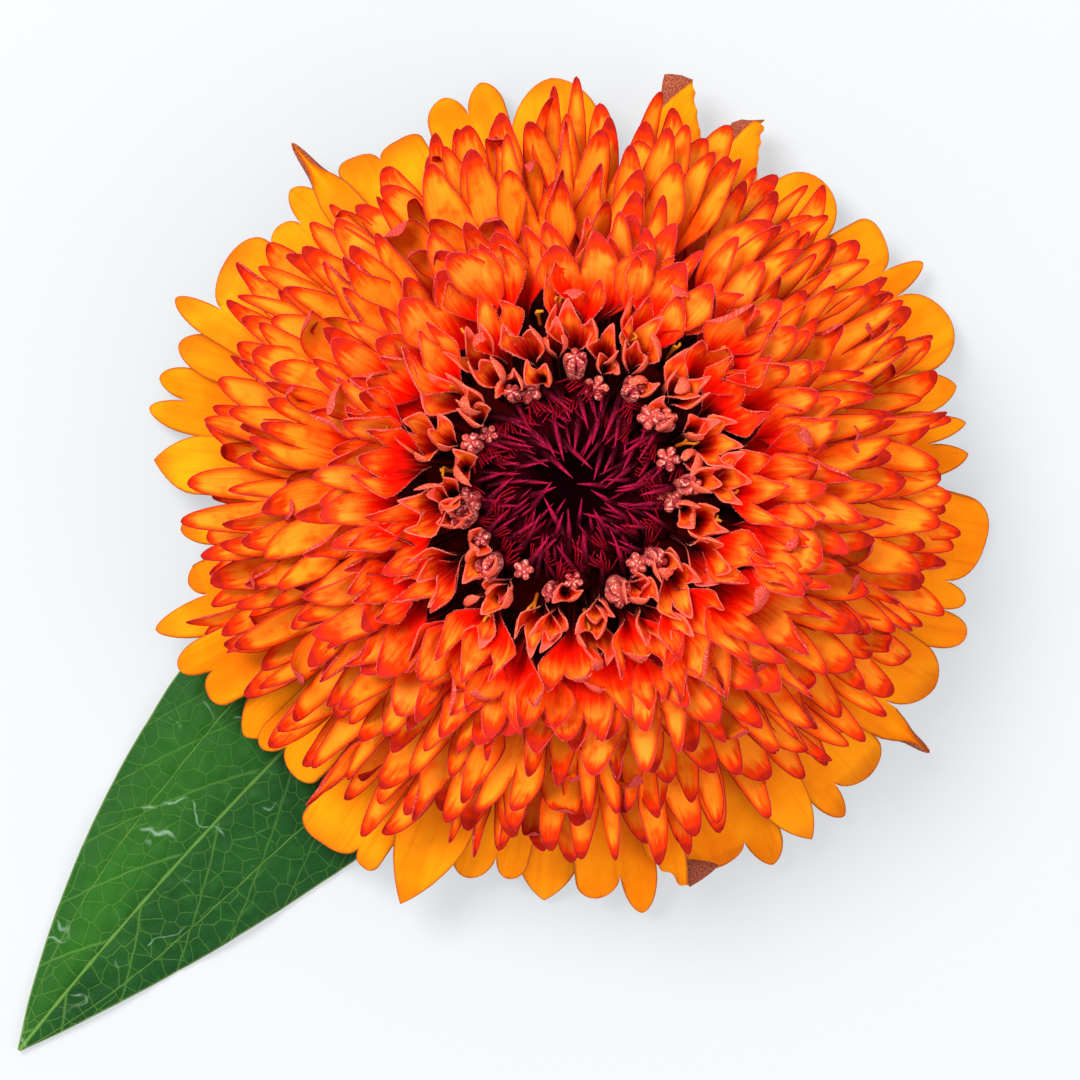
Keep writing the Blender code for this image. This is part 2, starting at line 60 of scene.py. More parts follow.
class Wire:
    """A socket of a node tree. Arithmetic on it adds Math nodes, and add() makes any other node."""

    def __init__(self, tree, socket=None):
        self.tree, self.socket = tree, socket

    def add(self, kind, inputs=None, output=0, **settings):
        node = self.tree.nodes.new(kind)
        for name, value in settings.items():
            setattr(node, name, value)
        for name, value in (inputs or {}).items():
            if isinstance(value, Wire):
                self.tree.links.new(value.socket, node.inputs[name])
            else:
                node.inputs[name].default_value = value
        return Wire(self.tree, node.outputs[output])

    def maths(self, operation, *values):
        return self.add("ShaderNodeMath", dict(enumerate(values)), operation=operation)

    __add__ = __radd__ = operator("ADD")
    __mul__ = __rmul__ = operator("MULTIPLY")
    __sub__, __rsub__ = operator("SUBTRACT"), operator("SUBTRACT", last=True)
    __truediv__, __pow__ = operator("DIVIDE"), operator("POWER")
    least, most = operator("MINIMUM"), operator("MAXIMUM")

    def about(self, share):
        """This value about its middle, times share."""
        return (self - 0.5) * share

    def rise(self, low, high):
        """0 below low, 1 above high and smooth between."""
        inputs = {"Value": self, "From Min": low, "From Max": high}
        return self.add("ShaderNodeMapRange", inputs, interpolation_type="SMOOTHSTEP")

    def fall(self, low, high):
        return 1 - self.rise(low, high)

    def mix(self, colour, other):
        """colour where this value is 0, other where it is 1. Each is a wire or a screen colour."""
        first, second = (ink(end) if isinstance(end, str) else end for end in (colour, other))
        inputs = {"Factor": self, 6: first, 7: second}
        return self.add("ShaderNodeMix", inputs, 2, data_type="RGBA", clamp_factor=True)

    def value(self, name):
        """A value that the piece's own mesh carries."""
        return self.add("ShaderNodeAttribute", output="Fac", attribute_name=name)

    def values(self, *names):
        return [self.value(name) for name in names]

    def place(self):
        return self.add("ShaderNodeTexCoord", output="Object")

    def flat(self):
        """The place on a piece laid out flat, in millimetres."""
        return self.add("ShaderNodeUVMap", output="UV")

    def noise(self, scale, detail=2, roughness=0.5):
        inputs = {"Vector": self, "Scale": scale, "Detail": detail, "Roughness": roughness}
        return self.add("ShaderNodeTexNoise", inputs)

    def net(self, scale):
        """The distance to the nearest line of an irregular net."""
        inputs = {"Vector": self, "Scale": scale}
        return self.add("ShaderNodeTexVoronoi", inputs, feature="DISTANCE_TO_EDGE", voronoi_dimensions="2D")

    def stretched(self, *scale):
        """A place with its parts scaled one by one, for patterns that run along a petal."""
        return self.add("ShaderNodeVectorMath", {0: self, 1: scale}, operation="MULTIPLY")

    def shifted(self, by):
        return self.add("ShaderNodeVectorMath", {0: self, 1: by}, operation="ADD")

    def vector(self, x, y, z):
        return self.add("ShaderNodeCombineXYZ", {0: x, 1: y, 2: z})

    def chance(self, low, high, seed):
        """A random value for each point, from a fixed seed."""
        return self.add("FunctionNodeRandomValue", {2: low, 3: high, 8: seed}, 1, data_type="FLOAT")

    def stray(self, most, seed):
        """A random value about 0."""
        return self.chance(-most, most, seed)


def ink(code):
    """A linear colour with alpha from a screen colour such as 'ff8800'."""
    parts = [int(code[i : i + 2], 16) / 255 for i in (0, 2, 4)]
    return (*(c / 12.92 if c <= 0.04045 else ((c + 0.055) / 1.055) ** 2.4 for c in parts), 1)


def layered(colour, *layers):
    """A colour with others laid over it in turn: (how much of it, which)."""
    for share, other in layers:
        colour = share.mix(colour, other)
    return colour


def finish(name, paint, *inks, gloss=0.03, **fixed):
    """A material. paint gives its colour, its roughness and any relief: a height, and its range in mm."""
    material = bpy.data.materials.new(name)
    material.use_nodes = True
    tree = material.node_tree
    surface = tree.nodes["Principled BSDF"]
    for socket, value in {"Specular IOR Level": gloss, **fixed}.items():
        surface.inputs[socket].default_value = value
    colour, rough, *relief = paint(Wire(tree), *inks)
    varying = {"Base Color": colour, "Roughness": rough}
    if relief:
        inputs = {"Height": relief[0], "Distance": relief[1] * MM, "Strength": 1}
        varying["Normal"] = colour.add("ShaderNodeBump", inputs)
    for socket, wire in varying.items():
        tree.links.new(wire.socket, surface.inputs[socket])
    return material


# ---- finishes


def floret(wire, shaded_foot, throat, limb, glow, tip, edge, back, speck, reach, edge_width):
    """Velvety floret: a near-black foot of painted shade where florets go down among each other, over the
    throat's own dark red; a limb with a painted highlight along the middle of each lobe; red tips and
    streaks, fine outline and a dusty back.

    reach is where along the floret the throat ends: (shaded foot to red, red to limb), each a start and an end.
    """
    flat = wire.flat()
    along, to_tip, to_edge, tint, mark = wire.values("along", "to_tip", "to_edge", "tint", "mark")
    under = wire.value("under").rise(0.35, 0.65)
    streaks = flat.stretched(2.2, 0.2, 1).noise(1, 3, 0.6)
    veins = flat.stretched(5.5, 0.24, 1).noise(1, 1)
    clouds, grain = flat.noise(0.5), flat.noise(8, 1)
    place = along + streaks.about(0.3) + clouds.about(0.15) + tint.about(0.12)
    # lit: a painted highlight along the middle of each lobe, away from its rims and its throat.
    lit = to_edge.rise(0.05, 0.75) * place.rise(reach[1][0] + 0.06, reach[1][1] + 0.1) * clouds.rise(0.2, 0.55)
    smudge = (to_tip + streaks.about(3.2) + clouds.about(1.6) - mark * 1.6).fall(0.1, 1.7)
    beside = to_edge.fall(0.02, 0.3) * to_tip.fall(1, 4) * 0.4
    outline = (to_edge + grain.about(edge_width)).fall(0.25 * edge_width, edge_width)
    dusty = (grain.rise(0.5, 0.72) * 0.7).mix((streaks * 0.6).mix(back, tip), speck)
    # The dark foot colour, on the front and near the root of the back, is painted shade where the florets go down
    # among each other.
    colour = layered(
        shaded_foot, (place.rise(*reach[0]), throat), (place.rise(*reach[1]), limb), (lit, glow),
        (veins.rise(0.53, 0.72) * (0.42 - lit * 0.3), tip), ((smudge * 0.92).most(beside), tip),
        ((to_tip - mark * 0.9).fall(0, 0.6) * 0.6, edge), (outline * 0.72, edge),
        (under, along.rise(0.3, 0.7).mix(shaded_foot, dusty)),
    )
    return colour, 0.5 + 0.3 * grain, streaks * 0.5 + grain * 0.25 + veins * 0.5, 0.12


def golden_petal(wire):
    """Ray petal: golden, with faint parallel veins, a thin brownish rim and a dusty back; darker and redder
    towards its root, its own redder root with painted shade under the crest's rim.
    """
    flat = wire.flat()
    along, to_edge, to_tip, tint = wire.values("along", "to_edge", "to_tip", "tint")
    under = wire.value("under").rise(0.35, 0.65)
    veins = flat.stretched(1.3, 0.03, 1).noise(1, 3, 0.6)
    clouds, grain = flat.noise(0.16, 3), flat.noise(7, 1)
    scorched = (to_tip + veins.about(3)).fall(0, 2.6) * tint.rise(0.1, 0.9)
    outline = (to_edge + grain.about(0.1)).fall(0.04, 0.2)
    # The red-orange towards the root is partly painted shade under the crest's rim.
    colour = layered(
        "ec7000", (clouds.rise(0.35, 0.65) * 0.7 + tint * 0.35, "ff960a"), (veins.rise(0.5, 0.72) * 0.5, "e46402"),
        (along.fall(0.62, 0.9) * 0.85, "d84c02"), (scorched * 0.7, "b44a08"), (outline * 0.75, "a8481a"),
        (under, layered("74301c", (grain.rise(0.35, 0.7), "b0604a"), (veins.rise(0.4, 0.7) * 0.5, "8a4420"))),
    )
    return colour, 0.45 + 0.25 * grain, veins + grain * 0.2, 0.16


def maroon(wire, shaded_foot, ridge, bright):
    """Chaff: nearly black at its foot, painted shade down among the spikes over their own dark maroon, and
    magenta towards its tip, with bright grains there that are partly painted highlights.
    """
    along, place = wire.value("along"), wire.place()
    clouds, grain = place.noise(700), place.noise(5000, 1)
    # From the painted shade at the foot up to the chaff's own magenta.
    ridges = (along + clouds.about(0.7)).rise(0.3, 1)
    colour = layered(shaded_foot, (ridges, ridge), (grain.rise(0.55, 0.8) * along * 0.6, bright))
    return colour, 0.4 + 0.3 * clouds, grain, 0.06


def rosy_bud(wire):
    """Closed buds: rosy, with pale grains on their lobes, partly painted highlights, and painted shade in the
    furrows between the lobes and at their feet.
    """
    furrow, place = wire.value("furrow"), wire.place()
    grain, clouds = place.noise(4200, 1), place.noise(500)
    # Lighter and grainy out on the lobes, partly painted light; dark in the furrows, at the foot and in the head's
    # dimple, painted shade.
    colour = layered(
        "982830", (clouds.rise(0.35, 0.65) * furrow, "c44c40"),
        (grain.rise(0.5, 0.68) * furrow.rise(0.3, 0.9) * 0.8, "f4b49c"), (furrow.fall(0.1, 0.6), "5c0818"),
    )
    return colour, 0.5 + 0.2 * clouds, grain, 0.1


def yellow_style(wire):
    grain = wire.place().noise(4000, 1)
    return (wire.value("along") + grain.about(0.5)).rise(0.2, 1).mix("a84a10", "d88a24"), 0.45 + 0.3 * grain


def fuzz(wire, first, second):
    """Fine down of two colours."""
    clouds = wire.place().noise(900)
    return clouds.rise(0.35, 0.65).mix(first, second), 0.6 + 0.2 * clouds


def leaf_green(wire):
    """Leaf: dark green, with three main nerves, side nerves and a net, all paler than the blade, with painted
    light on its left half towards the tip and painted shade at its base under the bloom.
    """
    flat = wire.flat()
    along, across, to_edge = wire.values("along", "across", "to_edge")
    lateral, from_middle, phase = wire.values("lateral", "from_middle", "phase")
    under = wire.value("under").rise(0.35, 0.65)
    nerve = from_middle.least(wire.maths("ABSOLUTE", lateral) * 1.4 + along * 0.1)
    side_nerve = wire.maths("PINGPONG", phase + 16, 0.5) * LEAF_SIDE_NERVES
    wobble, clouds = flat.noise(0.35), flat.noise(0.07, 3)
    patches, grain = flat.noise(0.6, 3), flat.noise(6, 2)
    bent = flat.shifted(wire.vector(wobble * 0.9, patches * 0.5, 0))
    coarse, fine = bent.net(0.62).fall(0.01, 0.055), bent.net(1.7).fall(0, 0.06)
    line = (coarse * 0.42).most(fine * 0.1).most(side_nerve.fall(0.05, 0.42) * 0.46) * (0.05 + along)
    line = line.most(nerve.fall(0.06, 0.26) * (0.35 + 0.55 * along)).least(1)
    thread = wire.maths("ABSOLUTE", flat.noise(0.11, 3) - 0.5).fall(0, 0.014)
    scratch = thread * flat.noise(0.16).rise(0.52, 0.6) * patches.rise(0.3, 0.6)
    # The yellow-green on the left half, growing towards the tip, is painted light from the lamp at the upper left;
    # the darker blue-green kept near the base is painted shade under the bloom.
    colour = layered(
        "0d3412", (clouds.rise(0.3, 0.7), "194818"), (across.fall(-0.4, 0.2) * along * 0.6, "2c6810"),
        (to_edge.fall(0.5, 3.5) * 0.45, "18421c"), (patches.rise(0.5, 0.75) * 0.25, "2c6820"),
        (scratch * 0.75, "7f9c80"), (line * 0.8, "668f3c"), (to_edge.fall(0.05, 0.2) * 0.5, "7f9450"),
        (under, (line * 0.6).mix("4f7c3a", "8fae62")),
    )
    relief = clouds * 0.3 - line * 0.5 + grain * 0.12 + patches * 0.25
    return colour, 0.4 + 0.2 * grain, relief, 0.28


def stem_green(wire):
    """Stem: fresh green, ribbed, with a pale ring of fibres round the pith of its cut face."""
    pith, place = wire.value("pith"), wire.place()
    ribs, clouds = place.stretched(1500, 1500, 60).noise(1, 2), place.noise(240)
    ring = pith.rise(0.55, 0.65) * pith.fall(0.72, 0.8) * 0.7
    cut = layered("b8c088", (pith.rise(0.75, 0.85), "6a8440"), (ring, "8a9a58"))
    colour = layered(
        "44611c", (clouds, "63822e"), (ribs.rise(0.48, 0.7) * 0.6, "2f4c16"), (wire.value("cut").rise(0.4, 0.6), cut)
    )
    return colour, 0.5 + 0.2 * ribs, ribs, 0.2


def bract_green(wire):
    """Bract: green with fine lines along it and a dark fringed rim."""
    flat = wire.flat()
    to_edge, to_tip = wire.values("to_edge", "to_tip")
    lines = flat.stretched(3, 0.2, 1).noise(1, 2)
    teeth = flat.stretched(7, 1.2, 1).noise(1, 1)
    rim = (to_edge.least(to_tip * 0.7) + teeth.about(0.9)).fall(0.15, 0.5)
    return layered("3c5f1c", (lines.rise(0.3, 0.7), "6f9040"), (rim, "1a1006")), 0.5 + 0.2 * teeth, lines, 0.15


def pale_ground(wire):
    clouds = wire.place().noise(9)
    return clouds.mix("828485", "848586"), 0.8 + 0.1 * clouds


# ---- meshes


def smooth(low, high, at):
    share = np.clip((at - low) / (high - low), 0, 1)
    return share * share * (3 - 2 * share)


def through(table, at):
    """Smooth values at `at`, read from a short table of (place, value) pairs."""
    place, value = np.array(table, float).T
    before, after = np.r_[0, 0 : len(place) - 1], np.r_[1 : len(place), len(place) - 1]
    slope = (value[after] - value[before]) / (place[after] - place[before])
    at = np.clip(at, place[0], place[-1])
    step = np.clip(np.searchsorted(place, at, side="right") - 1, 0, len(place) - 2)
    span = place[step + 1] - place[step]
    t = (at - place[step]) / span
    rise, low, high = value[step + 1] - value[step], slope[step] * span, slope[step + 1] * span
    return value[step] + t * (low + t * (3 * rise - 2 * low - high + t * (low + high - 2 * rise)))


def unit(ways):
    """Directions with their length taken off."""
    return ways / np.maximum(np.linalg.norm(ways, axis=-1, keepdims=True), 1e-9)


def stray(draw, most):
    """A random number about 0."""
    return draw.uniform(-most, most)


def circle(sides):
    return np.linspace(0, 2 * pi, sides, endpoint=False)


def about_axis(angle, out, aside, up):
    """Points that stand `out` from the bloom's axis towards angle, and `aside` from that way."""
    return np.stack([out * cos(angle) - aside * sin(angle), out * sin(angle) + aside * cos(angle), up], axis=1)


class Shape:
    """A closed mesh built up piece by piece in millimetres, with the values that its finish reads."""

    def __init__(self):
        self.points, self.faces, self.flat, self.values, self.count = [], [], [], {}, 0

    def add(self, points, faces, flat=None, **values):
        size = len(points)
        self.points.append(points)
        self.faces += [tuple(self.count + corner for corner in face) for face in faces]
        self.flat.append(np.zeros((size, 2)) if flat is None else flat)
        for name in sorted({*self.values, *values}):
            parts = self.values.setdefault(name, [np.zeros(self.count)])
            parts.append(np.broadcast_to(values.get(name, 0), (size,)))
        self.count += size
        return self

    def blade(self, sheet, faces, rim, thickness, flat, **values):
        """A sheet of points given its thickness, half of it on each side."""
        normals = np.zeros_like(sheet)
        for corners in faces:
            face = np.array(corners)
            a, b, c, d = sheet[face[[0, 1, 2, -1]]]
            normals[face] += np.cross(c - a, d - b) if len(face) == 4 else np.cross(b - a, c - a)
        half = unit(normals) * (np.asarray(thickness).reshape(-1, 1) / 2)
        size = len(sheet)
        closed = [*faces, *(tuple(size + corner for corner in reversed(face)) for face in faces)]
        closed += [(b, a, a + size, b + size) for a, b in rim]
        doubled = {name: np.tile(np.broadcast_to(value, (size,)), 2) for name, value in values.items()}
        under = np.repeat([0, 1], size)
        self.add(np.concatenate([sheet + half, sheet - half]), closed, np.tile(flat, (2, 1)), under=under, **doubled)

    def made(self, name, material):
        """The shape as an object whose mesh holds its place, in metres."""
        mesh = bpy.data.meshes.new(name)
        mesh.from_pydata(np.concatenate(self.points) * MM, [], self.faces)
        mesh.update()
        for key, parts in self.values.items():
            layer = mesh.attributes.new(key, "FLOAT", "POINT")
            layer.data.foreach_set("value", np.concatenate(parts).astype(np.float32))
        corners = np.empty(len(mesh.loops), np.int32)
        mesh.loops.foreach_get("vertex_index", corners)
        layer = mesh.uv_layers.new(name="flat")
        layer.data.foreach_set("uv", np.concatenate(self.flat)[corners].astype(np.float32).ravel())
        mesh.shade_smooth()
        mesh.materials.append(material)
        return shown(name, mesh)


def shown(name, data):
    """An object in the scene."""
    thing = bpy.data.objects.new(name, data)
    bpy.context.scene.collection.objects.link(thing)
    return thing


def place_on(node, slot, *pieces):
    """Puts finished pieces on the body in place of a node, and hides the node."""
    for piece in pieces:
        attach(piece, BODY)
        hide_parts(node)


def rim_of(faces):
    """The sides that only one face has, each in the direction that its face gives it."""
    sides = {(face[i - 1], face[i]) for face in faces for i in range(len(face))}
    return sorted(side for side in sides if side[::-1] not in sides)


def grid_faces(rows, columns, closed=False):
    """Faces of a grid of points, row by row. A closed grid joins its last column to its first."""
    cells = ((i, j) for i in range(rows - 1) for j in range(columns if closed else columns - 1))
    corners = ((i * columns + j, i * columns + (j + 1) % columns) for i, j in cells)
    return [(a, a + columns, b + columns, b) for a, b in corners]


def stack_faces(rings, sides, closed_by_points=True):
    """Faces round a stack of rings, closed by one more point below and one above, or by a flat face each."""
    last = (rings - 1) * sides
    faces = [face[::-1] for face in grid_faces(rings, sides, closed=True)]
    if not closed_by_points:
        return [*faces, tuple(range(sides))[::-1], tuple(range(last, last + sides))]
    faces += [(last + sides, (j + 1) % sides, j) for j in range(sides)]
    return faces + [(last + sides + 1, last + j, last + (j + 1) % sides) for j in range(sides)]


def turned(profile, sides, ripple=None):
    """Points and faces of a body turned about +Z. profile runs up the outside from a pole to a pole.

    ripple(angle, share) scales the radius.
    """
    angle = circle(sides)
    points = []
    for share, (radius, height) in list(zip(np.linspace(0, 1, len(profile)), profile))[1:-1]:
        wide = radius * (ripple(angle, share) if ripple else np.ones(sides))
        points.append(np.stack([wide * np.cos(angle), wide * np.sin(angle), np.full(sides, height)], axis=1))
    poles = [[[0, 0, profile[end][1]]] for end in (0, -1)]
    return np.concatenate([*points, *poles]), stack_faces(len(points), sides)


def tube_along(path, radii, sides):
    """Points and faces of a closed round strand along a path of points."""
    way = unit(np.gradient(path, axis=0))
    side = unit(np.cross(way, [0.3, 0.2, 1]))
    face = np.cross(way, side)
    angle = circle(sides)
    ring = np.cos(angle)[None, :, None] * side[:, None, :] + np.sin(angle)[None, :, None] * face[:, None, :]
    points = path[:, None, :] + ring * np.asarray(radii)[:, None, None]
    return points.reshape(-1, 3), stack_faces(len(path), sides, closed_by_points=False)


def grown(name, source, sizes, build, material):
    """A plain mesh that a tree of Geometry Nodes makes from source. build(inlets) gives its last node."""
    tree = bpy.data.node_groups.new(name, "GeometryNodeTree")
    for way in ("INPUT", "OUTPUT"):
        tree.interface.new_socket("Geometry", in_out=way, socket_type="NodeSocketGeometry")
    for label, value in sizes.items():
        kind = "NodeSocketInt" if isinstance(value, int) else "NodeSocketFloat"
        tree.interface.new_socket(label, in_out="INPUT", socket_type=kind)
    entry = tree.nodes.new("NodeGroupInput")
    leave = tree.nodes.new("NodeGroupOutput")
    last = build({label: Wire(tree, entry.outputs[label]) for label in ("Geometry", *sizes)})
    last = last.add("GeometryNodeRealizeInstances", {0: last})
    last = last.add("GeometryNodeSetMaterial", {"Geometry": last, "Material": material})
    tree.links.new(last.socket, leave.inputs["Geometry"])
    piece = shown(name, source)
    growth = piece.modifiers.new(name, "NODES")
    growth.node_group = tree
    for socket in tree.interface.items_tree:
        if socket.name in sizes:
            growth[socket.identifier] = sizes[socket.name]
    graph = bpy.context.evaluated_depsgraph_get()
    mesh = bpy.data.meshes.new_from_object(piece.evaluated_get(graph), preserve_all_data_layers=True, depsgraph=graph)
    piece.modifiers.remove(growth)
    piece.data = mesh
    return piece


def planted(base, spots, instance, turn, size):
    """Copies of an instance, one on each spot."""
    inputs = {"Points": spots, "Instance": instance, "Rotation": turn, "Scale": size}
    return base.add("GeometryNodeInstanceOnPoints", inputs)


# ---- petals


class Plan:
    """The grid that a petal with `lobes` lobes is built on: points as shares, faces, rim and notches.

    A point is (share of the body, share of the lobe, middle of its lobe, share across).
    """

    def __init__(self, lobes, cells, body_rows, lobe_rows):
        self.lobes = lobes
        across = lobes * cells
        points = [
            (i / body_rows, 0, 0, -1 + 2 * j / across) for i in range(body_rows + 1) for j in range(across + 1)
        ]
        self.notches = [body_rows * (across + 1) + k * cells for k in range(lobes + 1)]
        self.faces = grid_faces(body_rows + 1, across + 1)
        for k in range(lobes):
            centre = -1 + (2 * k + 1) / lobes
            before = [self.notches[k] + c for c in range(cells + 1)]
            for i in range(1, lobe_rows):
                share = 1 - (1 - i / lobe_rows) ** 1.6
                row = list(range(len(points), len(points) + cells + 1))
                points += [(1, share, centre, -1 + 2 * c / cells) for c in range(cells + 1)]
                self.faces += [(before[c], row[c], row[c + 1], before[c + 1]) for c in range(cells)]
                before = row
            self.faces += [(before[c], len(points), before[c + 1]) for c in range(cells)]
            points.append((1, 1, centre, 0))
        self.points = np.array(points).T
        self.rim = rim_of(self.faces)


plan_of = cache(Plan)

# What a petal is unless its kind says otherwise. Lengths in millimetres, turns in degrees
PLAIN_PETAL = dict(
    fall=0.04,  # how much shorter its outer lobes are, as a share of its length
    uneven=0.05,
    lengths=None,  # how far each lobe reaches as a share of the length, in place of fall and uneven
    cup=40,
    cups=None,  # how far each lobe is rolled up, in place of cup
    flare=(0.25, 0.72),  # where its tube opens into the limb
    waist=0.9,  # half width of the tube, rolled out
    narrow=0,
    wild=0,  # share of the lobes that curl right over or roll up
    sway=0.12,
    sweep=0,
    wave=0,
    fold=None,  # start along it, slant, radius of the fold and how far it turns; a turn below 0 goes under
)
WILD_CURL = (75, 140)
WILD_CUP = 120
RIM_SHARE = 0.3  # how thick a petal is at its rim, as a share of its middle


def spine_length(root, shoulder, tip):
    return (dist(root, tip) + dist(root, shoulder) + dist(shoulder, tip)) / 2


def petal(shape, plan, direction, root, shoulder, tip, draw, patch, **traits):
    """Adds one petal that leaves the bloom's axis at `direction` along a bowed spine.

    root, shoulder and tip are (radius, height). traits say where along it the lobes part (split), what their
    outline is ((1 - share ** point) ** blunt), where they meet as shares across (edges) and half the arc of
    the section at foot and tip (gape). Returns the sheet's points, for the down along its rim.
    """
    form = SimpleNamespace(**{**PLAIN_PETAL, **traits})
    body, lobe, centre, side = plan.points
    in_lobe = lobe > 0
    nature = {}
    for number, middle in enumerate(sorted(set(centre[in_lobe]))):
        wild = draw.random() < form.wild
        curl = form.curl + form.curl_stray * draw.gauss(0, 1)
        cup = form.cups[number] if form.cups else form.cup * draw.uniform(0.5, 1.5)
        if wild and draw.random() < 0.5:
            cup = WILD_CUP
        elif wild:
            curl = draw.uniform(*WILD_CURL)
        nature[middle] = (draw.random(), stray(draw, 1), radians(curl), radians(cup), draw.random())
    short, sway, curl, cup, mark = np.array([nature.get(middle, (0,) * 5) for middle in centre]).T
    length, split = spine_length(root, shoulder, tip), form.split
    meet = np.linspace(-1, 1, plan.lobes + 1)
    middles = (meet[:-1] + meet[1:]) / 2
    lobe_share = np.interp(centre, middles, np.diff(form.edges) / 2)
    if form.lengths:
        last = np.interp(centre, middles, form.lengths)
    else:
        last = 1 - form.fall * centre**2 - form.uneven * short
    along = np.where(in_lobe, split + (last - split) * lobe, split * body)
    reach = (1 - lobe**form.point) ** form.blunt
    opened = smooth(*form.flare, along)
    half = form.waist + (form.width / 2 - form.waist) * opened
    half *= 1 - form.narrow * smooth(0.7, 1.05, along)
    lobe_half = reach * half * lobe_share
    roll_up = cup * smooth(0, 0.7, lobe) * side
    drawn_in = np.where(in_lobe, np.sinc(roll_up / pi), 1)
    place = np.interp(np.where(in_lobe, centre + side * drawn_in * reach / plan.lobes, side), meet, form.edges)
    start, end = map(radians, form.gape)
    gape = start + (end - start) * opened
    y = half / gape * np.sin(gape * place)
    z = half / gape * (1 - np.cos(gape * place))
    z += side * lobe_half * np.sin(roll_up / 2) * np.sinc(roll_up / 2 / pi)
    beyond = (last - split) * length * lobe
    bend = curl * lobe
    x = np.where(in_lobe, split, along) * length + beyond * np.sinc(bend / pi)
    z += beyond * np.sin(bend / 2) * np.sinc(bend / 2 / pi)
    y += (form.fan * centre + form.sway * sway * lobe) * beyond
    z += form.wave * place * np.abs(place) * np.sin(9 * along + 2 * patch)
    if form.fold:
        share, slant, tight, most = form.fold
        way, upward = radians(slant), copysign(1, most)
        past = np.maximum((x - share * length) * cos(way) + y * sin(way), 0)
        turn = np.minimum(past / tight, radians(abs(most)))
        rest = past - turn * tight
        over = tight * np.sin(turn) + rest * np.cos(turn) - upward * z * np.sin(turn) - past
        z = upward * (tight * (1 - np.cos(turn)) + rest * np.sin(turn)) + z * np.cos(turn)
        x, y = x + over * cos(way), y + over * sin(way)
    t = x / length
    t_on = np.clip(t, 0, 1)
    legs = np.array([root, shoulder, tip])
    weights = np.stack([(1 - t_on) ** 2, 2 * t_on * (1 - t_on), t_on**2], axis=1)
    heading = unit(np.outer(1 - t_on, legs[1] - legs[0]) + np.outer(t_on, legs[2] - legs[1]))
    spine = weights @ legs + heading * ((t - t_on) * length)[:, None]
    roll = radians(form.roll) * np.minimum(1, t_on * 2)
    aside = y * np.cos(roll) - z * np.sin(roll) + form.sweep * t_on**2
    raised = y * np.sin(roll) + z * np.cos(roll)
    out, up = spine[:, 0] - heading[:, 1] * raised, spine[:, 1] + heading[:, 0] * raised
    sheet = about_axis(radians(direction), out, aside, up)
    to_side = (1 - np.abs(side)) * np.where(in_lobe, lobe_half, half)
    to_side[plan.notches] = 0
    to_tip = (last - along) * length
    to_edge = np.minimum(to_side, to_tip * 0.7)
    thick = form.thick * (RIM_SHARE + (1 - RIM_SHARE) * smooth(0, 0.6, to_edge))
    flat = np.stack([place * half + patch * 13.7, along * length + patch * 5.3], axis=1)
    values = {"along": along, "to_tip": to_tip, "to_edge": to_edge, "mark": mark, "tint": draw.random()}
    shape.blade(sheet, plan.faces, plan.rim, thick, flat, **values)
    return sheet


class Rims:
    """Lines along the rims of petals, each point with the way out of the petal, for the down to grow on."""

    def __init__(self):
        self.points, self.lines, self.ways = [], [], []

    def add(self, sheet, plan, share):
        """The rim of the outer part of a petal: share is where along its points it starts."""
        face_at = {corner: face for face in plan.faces for corner in face}
        kept = sorted({corner for side in plan.rim for corner in side if corner > share * len(sheet)})
        number = {corner: len(self.points) + i for i, corner in enumerate(kept)}
        self.points += [sheet[corner] for corner in kept]
        self.ways += [unit(sheet[corner] - sheet[list(face_at[corner])].mean(axis=0)) for corner in kept]
        self.lines += [(number[a], number[b]) for a, b in plan.rim if a in number and b in number]

    def mesh(self, name):
        made = bpy.data.meshes.new(name)
        made.from_pydata(np.array(self.points) * MM, self.lines, [])
        layer = made.attributes.new("out", "FLOAT_VECTOR", "POINT")
        layer.data.foreach_set("vector", np.array(self.ways, np.float32).ravel())
        return made


def down(name, rims, material, spacing, length, seed):
    """Short tapered hairs along the rims, pointing out of the petals."""

    def build(inlets):
        base = inlets["Geometry"]
        lines = base.add("GeometryNodeMeshToCurve", {"Mesh": base})
        inputs = {"Curve": lines, "Length": inlets["Spacing"]}
        lines = base.add("GeometryNodeResampleCurve", inputs, mode="LENGTH")
        inputs = {"Vertices": 4, "Radius Top": 0, "Radius Bottom": inlets["Radius"], "Depth": inlets["Length"]}
        hair = base.add("GeometryNodeMeshCone", inputs, fill_type="NGON")
        out = base.add("GeometryNodeInputNamedAttribute", {"Name": "out"}, data_type="FLOAT_VECTOR")
        stray = base.vector(*(base.stray(0.9, seed + i) for i in range(3)))
        turn = base.add("FunctionNodeAlignRotationToVector", {"Vector": out.shifted(stray)}, axis="Z")
        return planted(base, lines, hair, turn, base.chance(0.5, 1.3, seed + 3))

    sizes = {"Spacing": spacing * MM, "Length": length * MM, "Radius": 0.24 * length * MM}
    return grown(name, rims.mesh(name), sizes, build, material)


def leaning(draw, root, reach, top, slope, bend):
    """Shoulder and tip of a floret whose limb rises at about slope. bend is its share of the root's distance."""
    limb = radians(slope + stray(draw, 10))
    limb_length = bend * dist(root, (reach, top))
    return (reach - limb_length * cos(limb), top - limb_length * sin(limb)), (reach, top)


def uneven_lobes(lobes, skew):
    """Where the lobes of a petal meet, as shares across it: wider ones on one side."""
    even = np.linspace(-1, 1, lobes + 1)
    return even + skew * (1 - even**2)


# ---- crest

crest_low, crest_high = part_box("crest_florets")
CREST_REACH = (crest_high.x - crest_low.x) / 2 / MM
